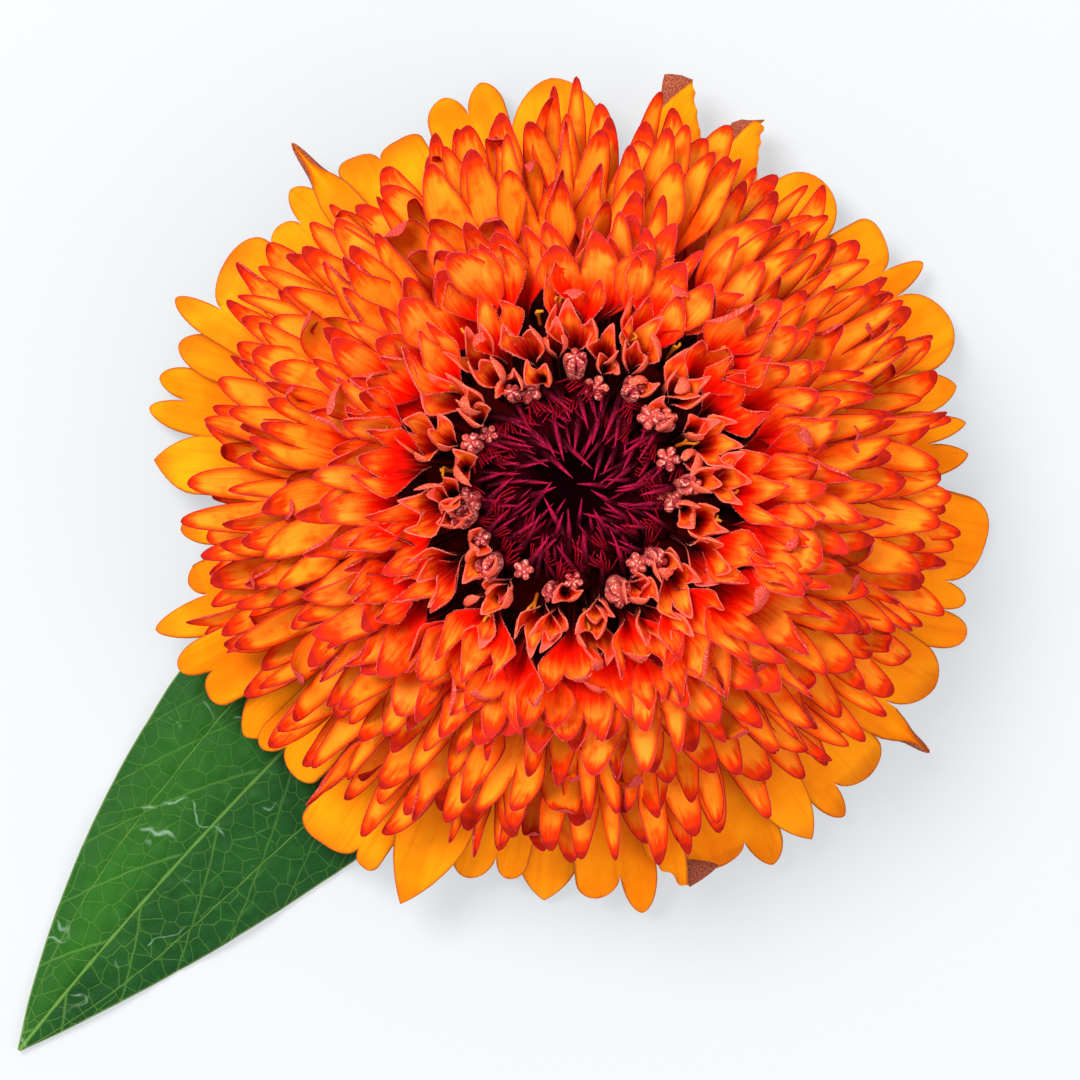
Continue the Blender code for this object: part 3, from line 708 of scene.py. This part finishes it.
# The dome from its lowest row up: florets, tip radius as a share of the reach, tip height, slope, width, split
CREST = (
    (24, 1.075, 12.8, -22, 9.4, 0.7),
    (24, 1.045, 16.2, -12, 9.4, 0.69),
    (23, 0.995, 19.6, -2, 9.2, 0.68),
    (21, 0.93, 22.8, 9, 9.2, 0.67),
    (19, 0.855, 25.6, 18, 9.4, 0.66),
    (18, 0.775, 28.2, 26, 10, 0.66),
    (17, 0.7, 30.2, 32, 10.6, 0.67),
)
# Rows of the dome in the inner florets' colours, and rows with down on their rims
FAN_ROWS, DOWNY_ROWS = (5, 6), (3, 4, 5, 6)
CREST_ROOT_HEIGHTS = (15.9, 22.6)
CREST_ROOT_RADIUS = 11.2
CREST_TURN = 137.5
CREST_SEED = 7
CREST_CORE = (
    (0, 14.2), (15.6, 14.2), (17.4, 14.5), (16.4, 15.3), (14.2, 16.8), (13.2, 18.4),
    (12.7, 20.4), (11.8, 23.2), (10.8, 23.9), (0, 23.9),
)


def crest_row(number, material, rims):
    """One ring of lobed florets of the dome."""
    draw = random.Random(CREST_SEED + 31 * number)
    vary = draw.uniform
    count, share, tip_height, slope, width, split = CREST[number]
    low, high = CREST_ROOT_HEIGHTS
    root = (CREST_ROOT_RADIUS, low + number / (len(CREST) - 1) * (high - low))
    shape = Shape()
    for i in range(count):
        direction = CREST_TURN * number + (i + stray(draw, 0.3)) * 360 / count
        reach, top = share * CREST_REACH * vary(0.94, 1.03), tip_height + vary(-1.2, 1)
        shoulder, tip = leaning(draw, root, reach, top, slope, 0.5)
        lobes = draw.choice((2, 3, 3, 3, 3, 4))
        plan = plan_of(lobes, 5, 6, 8)
        sheet = petal(
            shape, plan, direction, root, shoulder, tip, draw, i + 40 * number,
            split=split + vary(-0.05, 0.06), fall=vary(0, 0.06), uneven=0.08,
            point=2.3, blunt=0.57, edges=uneven_lobes(lobes, stray(draw, 0.22)),
            width=width * vary(0.86, 1.08) * (0.78 if lobes == 2 else 1),
            gape=(150, vary(26, 60)), cup=48, curl=vary(-10, 14), curl_stray=16,
            wild=0.18, fan=vary(0, 0.22), roll=stray(draw, 24), sweep=stray(draw, 2.2), thick=0.32,
        )
        if rims:
            rims.add(sheet, plan, 0.3)
    return shape.made(f"crest_row_{number + 1}", material)


def crest_core(material):
    """The mass of tubes that the florets stand out of, in the florets' foot colour: near-black painted shade
    in the gaps between them.
    """
    return Shape().add(*turned(CREST_CORE, 64), along=0, to_tip=9, to_edge=9).made("crest_core", material)


# ---- ray petals

# Each petal: the directions where its lobes meet, the reach of each lobe, the radius of the notches between
# them, how pointed they are, the height of the tip, and its fold where it has one: start along it, slant,
# radius, turn
RAYS = (
    ((62, 79), (40.8,), 31.6, 0.84, 5, 0.8, -64, 0.4, -168),
    ((54, 66), (39,), 32, 0.52, 4.4, 0.8, -61, 0.4, -165),
    ((44, 57), (35.9,), 31.6, 0.55, 4.2),
    ((17.5, 30.2, 34.6, 43.5), (37.4, 37.6, 35.6), 34, 0.6, 2.2),
    ((1, 6.5, 11.3, 18.5), (35, 35.9, 36), 32, 0.7, 4.4),
    ((-24.5, -18.6, -14.3, -1), (38.2, 37, 37.7), 35, 0.52, 1.2),
    ((-40, -34.5, -24), (39.8, 37.6), 34.7, 0.6, 4),
    ((-53.2, -48.7, -39.5), (38.3, 37.6), 35.8, 0.62, 2.4),
    ((-60, -52), (38.8,), 33.8, 0.85, 4.6),
    ((-73, -64.2, -58.5), (37, 38.3), 35.8, 0.65, 2),
    ((-79, -72.5), (42,), 33.5, 0.8, 4.6, 0.84, -50, 0.4, -165),
    ((-89.6, -83, -77.5), (37.4, 39.3), 35.8, 0.6, 3),
    ((-99, -88.4), (37.9,), 32.8, 0.85, 1.4),
    ((-108.5, -101.5, -96.5), (36.4, 35.8), 34.2, 0.55, 3.6),
    ((-117.8, -106), (40.4,), 33.6, 0.9, 5.6),
    ((-129.6, -120.4, -116.6), (39.3, 38.9), 38, 0.42, 4.4),
    ((-142.4, -137.6, -130.6), (36.4, 36), 34.8, 0.6, 6.2),
    ((-148.4, -138.2), (36.9,), 32.6, 0.72, 4.6),
    ((-157.8, -152.8, -147.4), (39.3, 37.8), 36.6, 0.5, 5.8),
    ((-168.4, -163.4, -157.2), (36, 39.4), 34.8, 0.62, 3.8),
    ((-176.5, -170.4), (35.4,), 32.4, 0.6, 5),
    ((-169, -165.2), (36,), 32.8, 0.6, 2.4, 0.95, 0, 0.3, 150),
    ((172.2, 181.5), (37.7,), 33.8, 0.9, 2.6),
    ((162.6, 167.6, 172.4), (38.4, 38.8), 35.8, 0.58, 1.2),
    ((156.8, 163.8), (37.5,), 34, 0.55, 3.6),
    ((141.2, 153.4, 158), (37.3, 39.2), 35.6, 0.55, 4.8),
    ((130.4, 136, 141.8), (37, 35.5), 33.9, 0.6, 2),
    ((126.2, 132.6), (39.8,), 33, 0.6, 5),
    ((113, 120.5, 127.4), (34.8, 35.4), 34, 0.5, 3.4),
    ((99.8, 105.6, 112), (37.1, 36.8), 34.8, 0.62, 1.4),
    ((84.5, 100.4), (36.4,), 31.4, 0.6, 4.4),
)
# Lobes that are rolled up into a narrow quill: (petal, lobe)
ROLLED_RAYS = ((6, 0), (27, 0))
ROLLED_CUP = 150
RAY_CUP = 12
RAY_ROOT_RADIUS = 8.6
RAY_SHOULDER_RADIUS = 21
RAY_LAYERS = ((13.5, 13.6), (12.8, 11.6))
RAY_SEED = 3


def ray_petals(material):
    """The skirt of broad golden petals, in two layers."""
    draw = random.Random(RAY_SEED)
    shape = Shape()
    for number, (meets, reaches, notch, blunt, tip_height, *fold) in enumerate(RAYS):
        root_height, shoulder_height = RAY_LAYERS[number % 2]
        lobes, reach, span = len(reaches), max(reaches), meets[-1] - meets[0]
        bow = (RAY_ROOT_RADIUS, root_height), (RAY_SHOULDER_RADIUS, shoulder_height), (reach, tip_height)
        length = spine_length(*bow)
        plan = plan_of(lobes, 40 if fold else 12 // lobes + 2, 50 if fold else 18, 8)
        petal(
            shape, plan, (meets[0] + meets[-1]) / 2, *bow, draw, number,
            split=1 - 1.03 * (reach - notch) / length, thick=0.4, fold=fold,
            lengths=[1 - (reach - other) / length for other in reaches],
            edges=[2 * (meet - meets[0]) / span - 1 for meet in meets],
            cups=[ROLLED_CUP if (number, k) in ROLLED_RAYS else RAY_CUP for k in range(lobes)],
            width=radians(span) * notch, flare=(0.05, 0.62), waist=1.2, narrow=0.03, point=1.8, blunt=blunt,
            gape=(100, 12), curl=0, curl_stray=12, fan=0, sway=0.06, roll=draw.uniform(-8, 4), wave=0.35,
        )
    return shape.made("golden_rays", material)


# ---- collar

COLLAR_ROOT = (9.6, 25.4)
COLLAR_SEED = 11
# Rings of the collar: florets, tip radius, tip height, slope, width, split, half arcs, lobes, thickness, turn
COLLAR = {
    "fan_florets": (13, 22.4, 30, 30, 10.2, 0.64, (158, 50), 4, 0.3, 7),
    "shell_florets": (15, 19.2, 31.5, 38, 8.2, 0.6, (162, 66), 3, 0.3, 24),
    "flap_florets": (17, 16.2, 31.9, 48, 6.6, 0.56, (168, 84), 3, 0.3, 20),
    "tube_florets": (18, 13.6, 31.9, 58, 5.8, 0.62, (172, 140), 3, 0.32, 0),
    "slit_florets": (16, 11.8, 31.2, 66, 4.4, 0.6, (172, 120), 2, 0.32, 11),
}


def collar_ring(name, material, rims):
    """A ring of young florets, the inner ones still rolled into tubes, with soft rims."""
    count, tip_radius, tip_height, slope, width, split, (foot, mouth), lobes, thick, turn = COLLAR[name]
    draw = random.Random(COLLAR_SEED + count)
    vary = draw.uniform
    plan = plan_of(lobes, 12 // lobes, 8, 7)
    shape = Shape()
    for i in range(count):
        direction = turn + (i + stray(draw, 0.28)) * 360 / count
        reach, top = tip_radius + stray(draw, 0.9), tip_height + vary(-1.2, 0.3)
        shoulder, tip = leaning(draw, COLLAR_ROOT, reach, top, slope, 0.45)
        sheet = petal(
            shape, plan, direction, COLLAR_ROOT, shoulder, tip, draw, i + 60 * count,
            split=split, fall=vary(0.02, 0.2), uneven=0.12, point=2, blunt=0.7, flare=(0.2, 0.7),
            edges=uneven_lobes(lobes, stray(draw, 0.2)),
            waist=1.1, width=width * vary(0.85, 1.1), gape=(foot, mouth * vary(0.85, 1.1)),
            cup=75, curl=vary(-25, 20), curl_stray=26, wild=0.22, fan=vary(-0.2, 0.15),
            sway=0.25, roll=stray(draw, 30), sweep=stray(draw, 1), thick=thick,
        )
        rims.add(sheet, plan, 0.25)
    return shape.made(name, material)


# A bud from its foot to its head: share of its length, share of its width
BUD_OUTLINE = ((0, 0.4), (0.3, 0.62), (0.6, 0.95), (0.8, 1), (0.93, 0.78), (1, 0))
# Rings of buds: buds, radius, height of their heads
BUDS = ((11, 10.4, 30), (11, 9, 29))
BUD_FOOT = (8.6, 25.2)
BUD_WIDTH = (0.75, 1.25)
BUD_GRID = (18, 30)
BUD_LOBES = 5
BUD_FURROW = 0.42
BUD_LUMP = 0.035
BUD_DIMPLE = 0.35


def floret_buds(material):
    """Closed buds of five folded lobes, innermost of the florets."""
    draw = random.Random(COLLAR_SEED)
    shape = Shape()
    vary = draw.uniform
    rows, sides = BUD_GRID
    along, angle = np.linspace(0, 1, rows), circle(sides)
    body = np.maximum(0.02, through(BUD_OUTLINE, along) * (1 - smooth(0.97, 1, along)))[:, None]
    for ring, (count, radius, height) in enumerate(BUDS):
        for i in range(count):
            direction = radians((i + 0.5 * ring + stray(draw, 0.3)) * 360 / count)
            outward, upright = np.array([cos(direction), sin(direction), 0]), np.array([0, 0, 1])
            head = outward * (radius + stray(draw, 0.7)) + upright * (height + vary(-1, 0.6))
            foot = outward * BUD_FOOT[0] + upright * BUD_FOOT[1]
            wide, turn = vary(*BUD_WIDTH), vary(0, 6)
            way, side = unit(head - foot), np.cross(upright, outward)
            waves = np.abs(np.cos(BUD_LOBES / 2 * angle + turn))
            folds = np.outer(smooth(0.35, 0.75, along), 1 - waves**0.7)
            lumps = BUD_LUMP * np.outer(smooth(0.4, 0.7, along), np.sin(11 * angle + 3 * turn))
            wobble = lumps * np.cos(23 * along)[:, None]
            wide = wide * body * (1 - BUD_FURROW * folds + wobble)
            span = along * np.linalg.norm(head - foot) - BUD_DIMPLE * smooth(0.9, 1, along)
            points = foot + span[:, None, None] * way + (wide * np.cos(angle))[..., None] * side
            points = points + (wide * np.sin(angle))[..., None] * np.cross(way, side)
            points = np.concatenate([points.reshape(-1, 3), [foot, foot + way * span[-1]]])
            # furrow: 1 out on the lobes, 0 in the folds and at the foot; the bud finish paints shade where it is low.
            furrow = np.r_[(1 - folds).ravel() * np.repeat(smooth(0.1, 0.6, along), sides), 0, 0.3]
            shape.add(points, stack_faces(rows, sides), furrow=furrow)
    return shape.made("floret_buds", material)


# Styles, their distance from the axis and the height of their tips
STYLES = (20, (11, 17.5), (28.8, 31))


def floret_styles(material):
    """Forked yellow styles that curl out of the throats."""
    draw = random.Random(COLLAR_SEED + 5)
    shape = Shape()
    count, radii, heights = STYLES
    step = np.linspace(0, 1, 12)
    for i in range(count):
        direction = radians((i + stray(draw, 0.4)) * 360 / count)
        radius, height = draw.uniform(*radii), draw.uniform(*heights)
        for arm in (-1, 1):
            spread, curl = arm * draw.uniform(0.1, 0.9), draw.uniform(2, 4.6)
            out = radius - 1.6 + step * 1.6 + 0.5 * np.sin(curl * step) * step
            aside = spread * np.sin(curl * step) * smooth(0.3, 0.8, step)
            up = height - 2.2 + 2.6 * step - 0.9 * smooth(0.65, 1, step) * step
            path = about_axis(direction, out, aside, up)
            shape.add(*tube_along(path, 0.19 - 0.07 * step, 6), along=np.repeat(step, 6))
    return shape.made("floret_styles", material)


# ---- centre

CHAFF_CORE = (
    (0, 24.3), (7.3, 24.3), (7.9, 25.2), (7.2, 26.4), (6.2, 27), (5.2, 27.2), (3.8, 26.9), (2.6, 26.2),
    (1.2, 25.5), (0, 25.3),
)
PIT_DEPTH = 0.035
SPIRAL_TURN = radians(137.508)
CHAFF_SPIKES = {
    "Spikes": 150, "Inner radius": 3.3 * MM, "Outer radius": 9.4 * MM, "Foot height": 26.6 * MM,
    "Length": 4 * MM, "Half width": 0.6 * MM, "Bow": 0.5 * MM, "Lean": 0.45, "Swirl": 0.2,
}
TUFT_BRISTLES = 5
TUFT_HEIGHTS = (1.6, 3.4)
TUFT_SPREAD = 0.75


def chaff_cushion(material):
    """The pitted cushion that the chaff stands on: near-black, darkest at its middle, painted shade down among
    the chaff over its own dark maroon.
    """
    steps = np.linspace(0, len(CHAFF_CORE) - 1, 46)
    radii, heights = (np.interp(steps, range(len(CHAFF_CORE)), part) for part in zip(*CHAFF_CORE))
    points, faces = turned(
        list(zip(radii, heights)), 120, lambda angle, share: 1 + PIT_DEPTH * np.sin(34 * angle + 60 * share)
    )
    # Less painted shade away from the middle.
    paler = smooth(1, 6.5, np.hypot(points[:, 0], points[:, 1]))
    return Shape().add(points, faces, along=paler).made("chaff_cushion", material)


def sown(base, count, radius, angle, height, instance, turn, size):
    """Copies of an instance on points round the axis, each turned by its Euler angles."""
    place = base.vector(radius * base.maths("COSINE", angle), radius * base.maths("SINE", angle), height)
    spots = base.add("GeometryNodePoints", {"Count": count, "Position": place})
    turn = base.add("FunctionNodeEulerToRotation", {"Euler": base.vector(*turn)})
    return planted(base, spots, instance, turn, size)


def chaff(name, sizes, material, seed):
    """Curved spikes in the spiral order that flower heads grow in, leaning in towards the axis."""

    def build(inlets):
        base, inner, outer = inlets["Geometry"], inlets["Inner radius"], inlets["Outer radius"]
        length, bow = inlets["Length"], inlets["Bow"]
        index = base.add("GeometryNodeInputIndex")
        radius = inner + (outer - inner) * ((index + 0.5) / inlets["Spikes"]) ** 0.6
        angle = index * SPIRAL_TURN + base.stray(0.12, seed)
        ends = {
            "Start": (0, 0, 0), "Middle": base.vector(bow, 0, length * 0.6),
            "End": base.vector(bow * -1.2, 0, length),
        }
        line = base.add("GeometryNodeCurveQuadraticBezier", {"Resolution": 9, **ends})
        along = base.add("GeometryNodeSplineParameter")
        stored = {"Geometry": line, "Name": "along", "Value": along}
        line = base.add("GeometryNodeStoreNamedAttribute", stored, data_type="FLOAT", domain="POINT")
        section = base.add("GeometryNodeCurvePrimitiveCircle", {"Resolution": 5, "Radius": 1})
        section = base.add("GeometryNodeTransform", {"Geometry": section, "Scale": (0.55, 1, 1)})
        width = inlets["Half width"] * (1 - 0.93 * along**1.8)
        inputs = {"Curve": line, "Profile Curve": section, "Scale": width, "Fill Caps": True}
        spike = base.add("GeometryNodeCurveToMesh", inputs)
        lean = (0.55 + radius / outer * inlets["Lean"]) * -1 + base.stray(0.3, seed + 2)
        swirl = base.stray(0.4, seed + 3) + inlets["Swirl"]
        turn = (base.stray(0.15, seed + 4), lean, angle + swirl)
        height = inlets["Foot height"] + base.stray(0.4 * MM, seed + 1)
        return sown(base, inlets["Spikes"], radius, angle, height, spike, turn, base.chance(0.6, 1.15, seed + 5))

    return grown(name, bpy.data.meshes.new(name), sizes, build, material)


def tuft_mesh():
    """A narrow scale whose end is split into a fan of fine bristles."""
    draw = random.Random(2)
    shape = Shape()
    split, top = TUFT_HEIGHTS
    step = np.linspace(0, 1, 7)
    for aside in np.linspace(-1, 1, TUFT_BRISTLES):
        height = step * (top - 0.3 * aside * aside) * draw.uniform(0.6, 1.1)
        opened = smooth(split * 0.6, top, height)
        y = aside * (0.22 + TUFT_SPREAD * opened) + stray(draw, 0.4) * opened
        x = stray(draw, 0.2) - draw.uniform(0.4, 1.4) * opened**1.5
        path = np.stack([x, y, height], axis=1)
        shape.add(*tube_along(path, 0.2 * (1 - 0.8 * step), 4), along=np.repeat(step, 4))
    made = shape.made("tuft", None)
    mesh = made.data
    bpy.data.objects.remove(made)
    return mesh


def chaff_fringe(name, sizes, material, seed):
    """A ring of tufts between the chaff and the buds."""

    def build(inlets):
        base, tufts = inlets["Geometry"], inlets["Tufts"]
        index = base.add("GeometryNodeInputIndex")
        angle = (index + base.stray(0.35, seed)) * (2 * pi) / tufts
        radius = inlets["Radius"] + base.stray(0.5 * MM, seed + 1)
        swirl = angle + base.stray(0.8, seed + 4)
        turn = (base.stray(0.6, seed + 3), base.chance(-1, -0.1, seed + 2), swirl)
        return sown(base, tufts, radius, angle, inlets["Foot height"], base, turn, base.chance(0.8, 1.15, seed + 5))

    return grown(name, tuft_mesh(), sizes, build, material)


# ---- leaf

LEAF_PLAN = ((-3.02, -2.54), (-28.3, -23.8), (-50.1, -51.1))
LEAF_HEIGHT = ((0, 2.3), (0.2, 2.9), (0.5, 2.2), (0.8, 1.3), (1, 0.55))
LEAF_HALF_WIDTH = ((0, 3.6), (0.15, 8.4), (0.42, 12), (0.62, 9.9), (0.81, 5.9), (0.93, 2.5), (1, 0.12))
# Where the side pair of main nerves runs, as a share of the half width
LEAF_NERVE = ((0, 0.25), (0.2, 0.5), (0.6, 0.55), (1, 0.8))
LEAF_NERVE_SUNK = 0.16
LEAF_EDGE_DROP = 0.125
LEAF_WAVE = 0.35
LEAF_SIDE_NERVES = 10.5
LEAF_THICKNESS = 0.5
LEAF_LENGTH = 70
LEAF_GRID = (150, 61)


def shares(rows, columns):
    """Where the points of a grid are along it, from 0 to 1, and across it, from -1 to 1."""
    grid = np.meshgrid(np.linspace(0, 1, rows), np.linspace(-1, 1, columns), indexing="ij")
    return [part.ravel() for part in grid]


def groove_at(distance, half_width):
    """How deep a groove is at a distance from its middle line, from 1 to 0."""
    return np.exp(-((distance / half_width) ** 2))


def leaf_blade(material):
    """The one leaf: a low roof over its midrib, with sunken nerves and a waved edge."""
    rows, columns = LEAF_GRID
    along, across = shares(rows, columns)
    legs = np.array(LEAF_PLAN)
    keep = 1 - along
    middle = np.outer(keep**2, legs[0]) + np.outer(2 * keep * along, legs[1]) + np.outer(along**2, legs[2])
    heading = unit(np.outer(keep, legs[1] - legs[0]) + np.outer(along, legs[2] - legs[1]))
    half = through(LEAF_HALF_WIDTH, along)
    steps = np.linalg.norm(np.diff(middle.reshape(rows, columns, 2)[:, 0], axis=0), axis=1)
    reach = np.repeat(np.r_[0, np.cumsum(steps)], columns)
    from_middle = np.abs(across) * half
    lateral = (np.abs(across) - through(LEAF_NERVE, along)) * half
    phase = (reach - 1.5 * from_middle - 0.09 * from_middle**2 + 2.2 * np.sign(across)) / LEAF_SIDE_NERVES
    near = np.abs((phase + 0.5) % 1 - 0.5) * LEAF_SIDE_NERVES * 0.5
    groove = groove_at(from_middle, 0.6) + 0.7 * groove_at(lateral, 0.5) * (1 - smooth(0.6, 0.9, along))
    groove += 0.5 * groove_at(near, 0.5) * smooth(0, 1.5, from_middle)
    puff = 0.1 * np.sin(reach * 2.1 + from_middle) * np.sin(from_middle * 2.6 - reach * 0.4)
    wave = LEAF_WAVE * np.sin(2 * pi * 4.5 * along + across) * across**2 * np.minimum(1, keep / 0.25)
    height = through(LEAF_HEIGHT, along) - LEAF_EDGE_DROP * across**2 * half + wave
    height += (puff - LEAF_NERVE_SUNK * groove) * np.minimum(1, half / 6)
    thick = LEAF_THICKNESS * (1 - 0.4 * smooth(0.8, 1, np.abs(across)))
    height = np.maximum(height, thick / 2 + 0.02)
    sideways = np.stack([-heading[:, 1], heading[:, 0]], axis=1) * (across * half)[:, None]
    faces = grid_faces(rows, columns)
    shape = Shape()
    shape.blade(
        np.column_stack([middle + sideways, height]), faces, rim_of(faces), thick,
        np.stack([across * half, reach], axis=1), along=along, across=across, from_middle=from_middle,
        lateral=lateral, phase=phase, to_edge=np.minimum((1 - np.abs(across)) * half, keep * LEAF_LENGTH),
    )
    return shape.made("leaf_blade", material)


# ---- stem and bracts

STEM = (
    (0, 0), (1, 0), (2, 0), (2.9, 0), (3.3, 0), (3.56, 0.12), (3.6, 0.4), (3.5, 1.4), (3.42, 2.4),
    (3.5, 3.4), (3.7, 4.2),
)
STEM_RADIUS = 3.6
STEM_RIBS = 11
RIB_DEPTH = 0.022
CUP = ((3.7, 4.2), (5.9, 5.2), (7.6, 7), (8.4, 9.6), (8.3, 11.9))
CUP_RADII = [(height, radius) for radius, height in CUP]
RECEPTACLE = ((7.4, 12.1), (6.5, 12.2), (6.4, 13.6), (5.5, 17), (3.4, 20), (0, 21.2))
# Whorls of bracts: how many, start and end as shares of the cup's height, width, turn
BRACT_WHORLS = ((6, 0.10, 0.56, 5.4, 0), (8, 0.30, 0.80, 5.6, 17), (10, 0.52, 1.00, 5.2, 5))
CUP_SIDE = 9
BRACT_TIP_LIFT = 0.6
BRACT_THICKNESS = 0.45
BRACT_GRID = (15, 11)


def stem_and_cup(material):
    """The cut stem with its ribs, the cup that it widens into, and the receptacle."""
    cup_heights = np.linspace(CUP[0][1], CUP[-1][1], 14)[1:]
    profile = (*STEM, *zip(through(CUP_RADII, cup_heights), cup_heights), *RECEPTACLE)
    points, faces = turned(
        profile, 96, lambda angle, share: 1 + RIB_DEPTH * np.sin(STEM_RIBS * angle) * (0.2 < share < 0.5)
    )
    pith, cut = np.hypot(points[:, 0], points[:, 1]) / STEM_RADIUS, (points[:, 2] < 0.05).astype(float)
    return Shape().add(points, faces, pith=pith, cut=cut).made("stem", material)


def bracts(material):
    """Overlapping rounded bracts round the cup, lifting off it towards their tips."""
    shape = Shape()
    rows, columns = BRACT_GRID
    along, across = shares(rows, columns)
    faces = [face[::-1] for face in grid_faces(rows, columns)]
    rim = rim_of(faces)
    outline = (0.78 + 0.22 * smooth(0, 0.5, along)) * (1 - along**3.2) ** 0.5
    foot, head = CUP[0][1], CUP[-1][1]
    for whorl, (count, start, end, width, turn) in enumerate(BRACT_WHORLS):
        height = foot + (start + (end - start) * along) * (head - foot)
        half = np.maximum(width / 2 * outline, 0.02)
        radius = through(CUP_RADII, height) + 0.2 + BRACT_TIP_LIFT * along**2 - 0.25 * np.abs(across) ** 2
        length = (end - start) * CUP_SIDE
        ends = {"to_edge": (1 - np.abs(across)) * half, "to_tip": (1 - along) * length}
        for i in range(count):
            angle = radians(turn + 360 * i / count) + across * half / radius
            sheet = np.stack([radius * np.cos(angle), radius * np.sin(angle), height], axis=1)
            flat = np.stack([across * half + 7 * i + 90 * whorl, along * length], axis=1)
            shape.blade(sheet, faces, rim, BRACT_THICKNESS, flat, along=along, **ends)
    return shape.made("bracts", material)


def stem_lines():
    """Lines up the stem for its hairs."""
    rims = Rims()
    heights = np.linspace(0.6, 4, 14)
    radii = np.interp(heights, [height for _, height in STEM[5:]], [radius for radius, _ in STEM[5:]])
    for angle in circle(40):
        outward = np.array([cos(angle), sin(angle), 0.25])
        first = len(rims.points)
        rims.lines += [(first + k, first + k + 1) for k in range(len(heights) - 1)]
        rims.points += [outward * (radius, radius, 0) + (0, 0, height) for radius, height in zip(radii, heights)]
        rims.ways += [unit(outward)] * len(heights)
    return rims


# ---- making

# Floret inks in order: foot (painted shade), throat, limb, painted highlight, tip, edge, back, speck; then where the
# throat ends, and the outline's width.
crest_skin = finish(
    "orange_floret", floret, "540002", "e61400", "ff4e04", "ff8a1a", "e42402", "7c0c18", "a83434", "d87c70",
    ((0.12, 0.46), (0.42, 0.68)), 0.1,
)
fan_skin = finish(
    "fan_floret", floret, "3c0002", "ee0c00", "ff4e06", "ff8e28", "e82804", "a01820", "c04438", "e89080",
    ((0.3, 0.54), (0.5, 0.76)), 0.11,
)
young_skin = finish(
    "young_floret", floret, "200002", "a80802", "f85c08", "ff942c", "e82810", "e86858", "d45c40", "f4a084",
    ((0.28, 0.56), (0.48, 0.74)), 0.15,
)
golden = finish("golden_petal", golden_petal)
chaff_skin = finish("chaff_skin", maroon, "36020e", "a00c36", "d83c6c", gloss=0.04)
fringe_skin = finish("fringe_skin", maroon, "30020a", "94081c", "c83444", gloss=0.02)
cushion_skin = finish("cushion_skin", maroon, "0e0104", "30020c", "5c0614", gloss=0)
rosy_fuzz, crimson_fuzz, green_fuzz = (
    finish(name, fuzz, *inks, gloss=0.05) for name, *inks in (
        ("rosy_fuzz", "d84840", "f49c80"), ("crimson_fuzz", "b81c38", "dc6478"), ("green_fuzz", "9ab078", "dfe6cc"),
    )
)

crest_rims, young_rims = Rims(), Rims()
place_on(
    "crest_florets", "orange_floret",
    *(
        crest_row(i, fan_skin if i in FAN_ROWS else crest_skin, crest_rims if i in DOWNY_ROWS else None)
        for i in range(len(CREST))
    ),
    crest_core(crest_skin),
    down("crest_down", crest_rims, crimson_fuzz, 0.17, 0.1, 40),
)
place_on("ray_petals", "golden_petal", ray_petals(golden))
place_on(
    "collar_florets", "salmon_floret",
    *(collar_ring(name, fan_skin, young_rims) for name in ("fan_florets", "shell_florets")),
    *(collar_ring(name, young_skin, young_rims) for name in ("flap_florets", "tube_florets", "slit_florets")),
    down("young_down", young_rims, rosy_fuzz, 0.13, 0.12, 60),
    floret_buds(finish("bud_skin", rosy_bud)),
    floret_styles(finish("yellow_style", yellow_style)),
)
place_on(
    "centre_chaff", "maroon_chaff",
    chaff_cushion(cushion_skin),
    chaff("chaff_spikes", CHAFF_SPIKES, chaff_skin, 80),
    *(
        chaff_fringe(name, {"Tufts": tufts, "Radius": radius * MM, "Foot height": 26.2 * MM}, fringe_skin, seed)
        for name, radius, tufts, seed in (("outer_fringe", 9, 34, 90), ("inner_fringe", 7.6, 26, 100))
    ),
)
place_on("leaf", "leaf_green", leaf_blade(finish("leaf_green", leaf_green, gloss=0.07)))
place_on(
    "stem_and_bracts", "stem_green",
    stem_and_cup(finish("stem_green", stem_green, gloss=0.3)),
    bracts(finish("bract_green", bract_green, gloss=0.3)),
    down("stem_down", stem_lines(), green_fuzz, 0.25, 0.5, 120),
)


# ---- floor, light and camera


def pale_floor():
    """A pale floor that gives some light of its own, so that shadows on it stay faint."""
    glow = {"Emission Color": (0.5, 0.515, 0.526, 1), "Emission Strength": 1}
    mesh = bpy.data.meshes.new("floor")
    half = 1.5
    mesh.from_pydata([(-half, -half, 0), (half, -half, 0), (half, half, 0), (-half, half, 0)], [], [(0, 1, 2, 3)])
    mesh.materials.append(finish("pale_floor", pale_ground, gloss=0.1, **glow))
    floor = shown("floor", mesh)


def softbox(name, place, size, power, colour, target=(0, 0, 0.01)):
    light = bpy.data.lights.new(name, "AREA")
    light.shape, light.size, light.energy, light.color = "DISK", size, power, colour
    lamp = shown(name, light)
    lamp.location = place
    lamp.rotation_euler = (Vector(target) - Vector(place)).to_track_quat("-Z", "Y").to_euler()


def studio():
    world = bpy.data.worlds.new("studio")
    world.use_nodes = True
    background = world.node_tree.nodes["Background"]
    background.inputs["Color"].default_value = (0.9, 0.94, 1, 1)
    background.inputs["Strength"].default_value = 0.95
    bpy.context.scene.world = world
    softbox("key", (-0.35, 0.35, 0.8), 0.45, 10, (1, 0.98, 0.95))
    softbox("fill", (0.6, -0.3, 0.7), 0.6, 3, (0.95, 0.97, 1))
    bpy.context.scene.view_settings.view_transform = "Standard"


def camera():
    """Straight above the bloom, a little to its lower left, so that the leaf's tip is in view."""
    view = bpy.data.cameras.new("camera")
    distance, focus_height, field = 0.6, 0.0045, 0.0972
    view.sensor_width = 36
    view.lens = view.sensor_width * (distance - focus_height) / field
    eye = shown("camera", view)
    eye.location = (-0.0029, -0.0049, distance)
    bpy.context.scene.camera = eye


pale_floor()
studio()
camera()
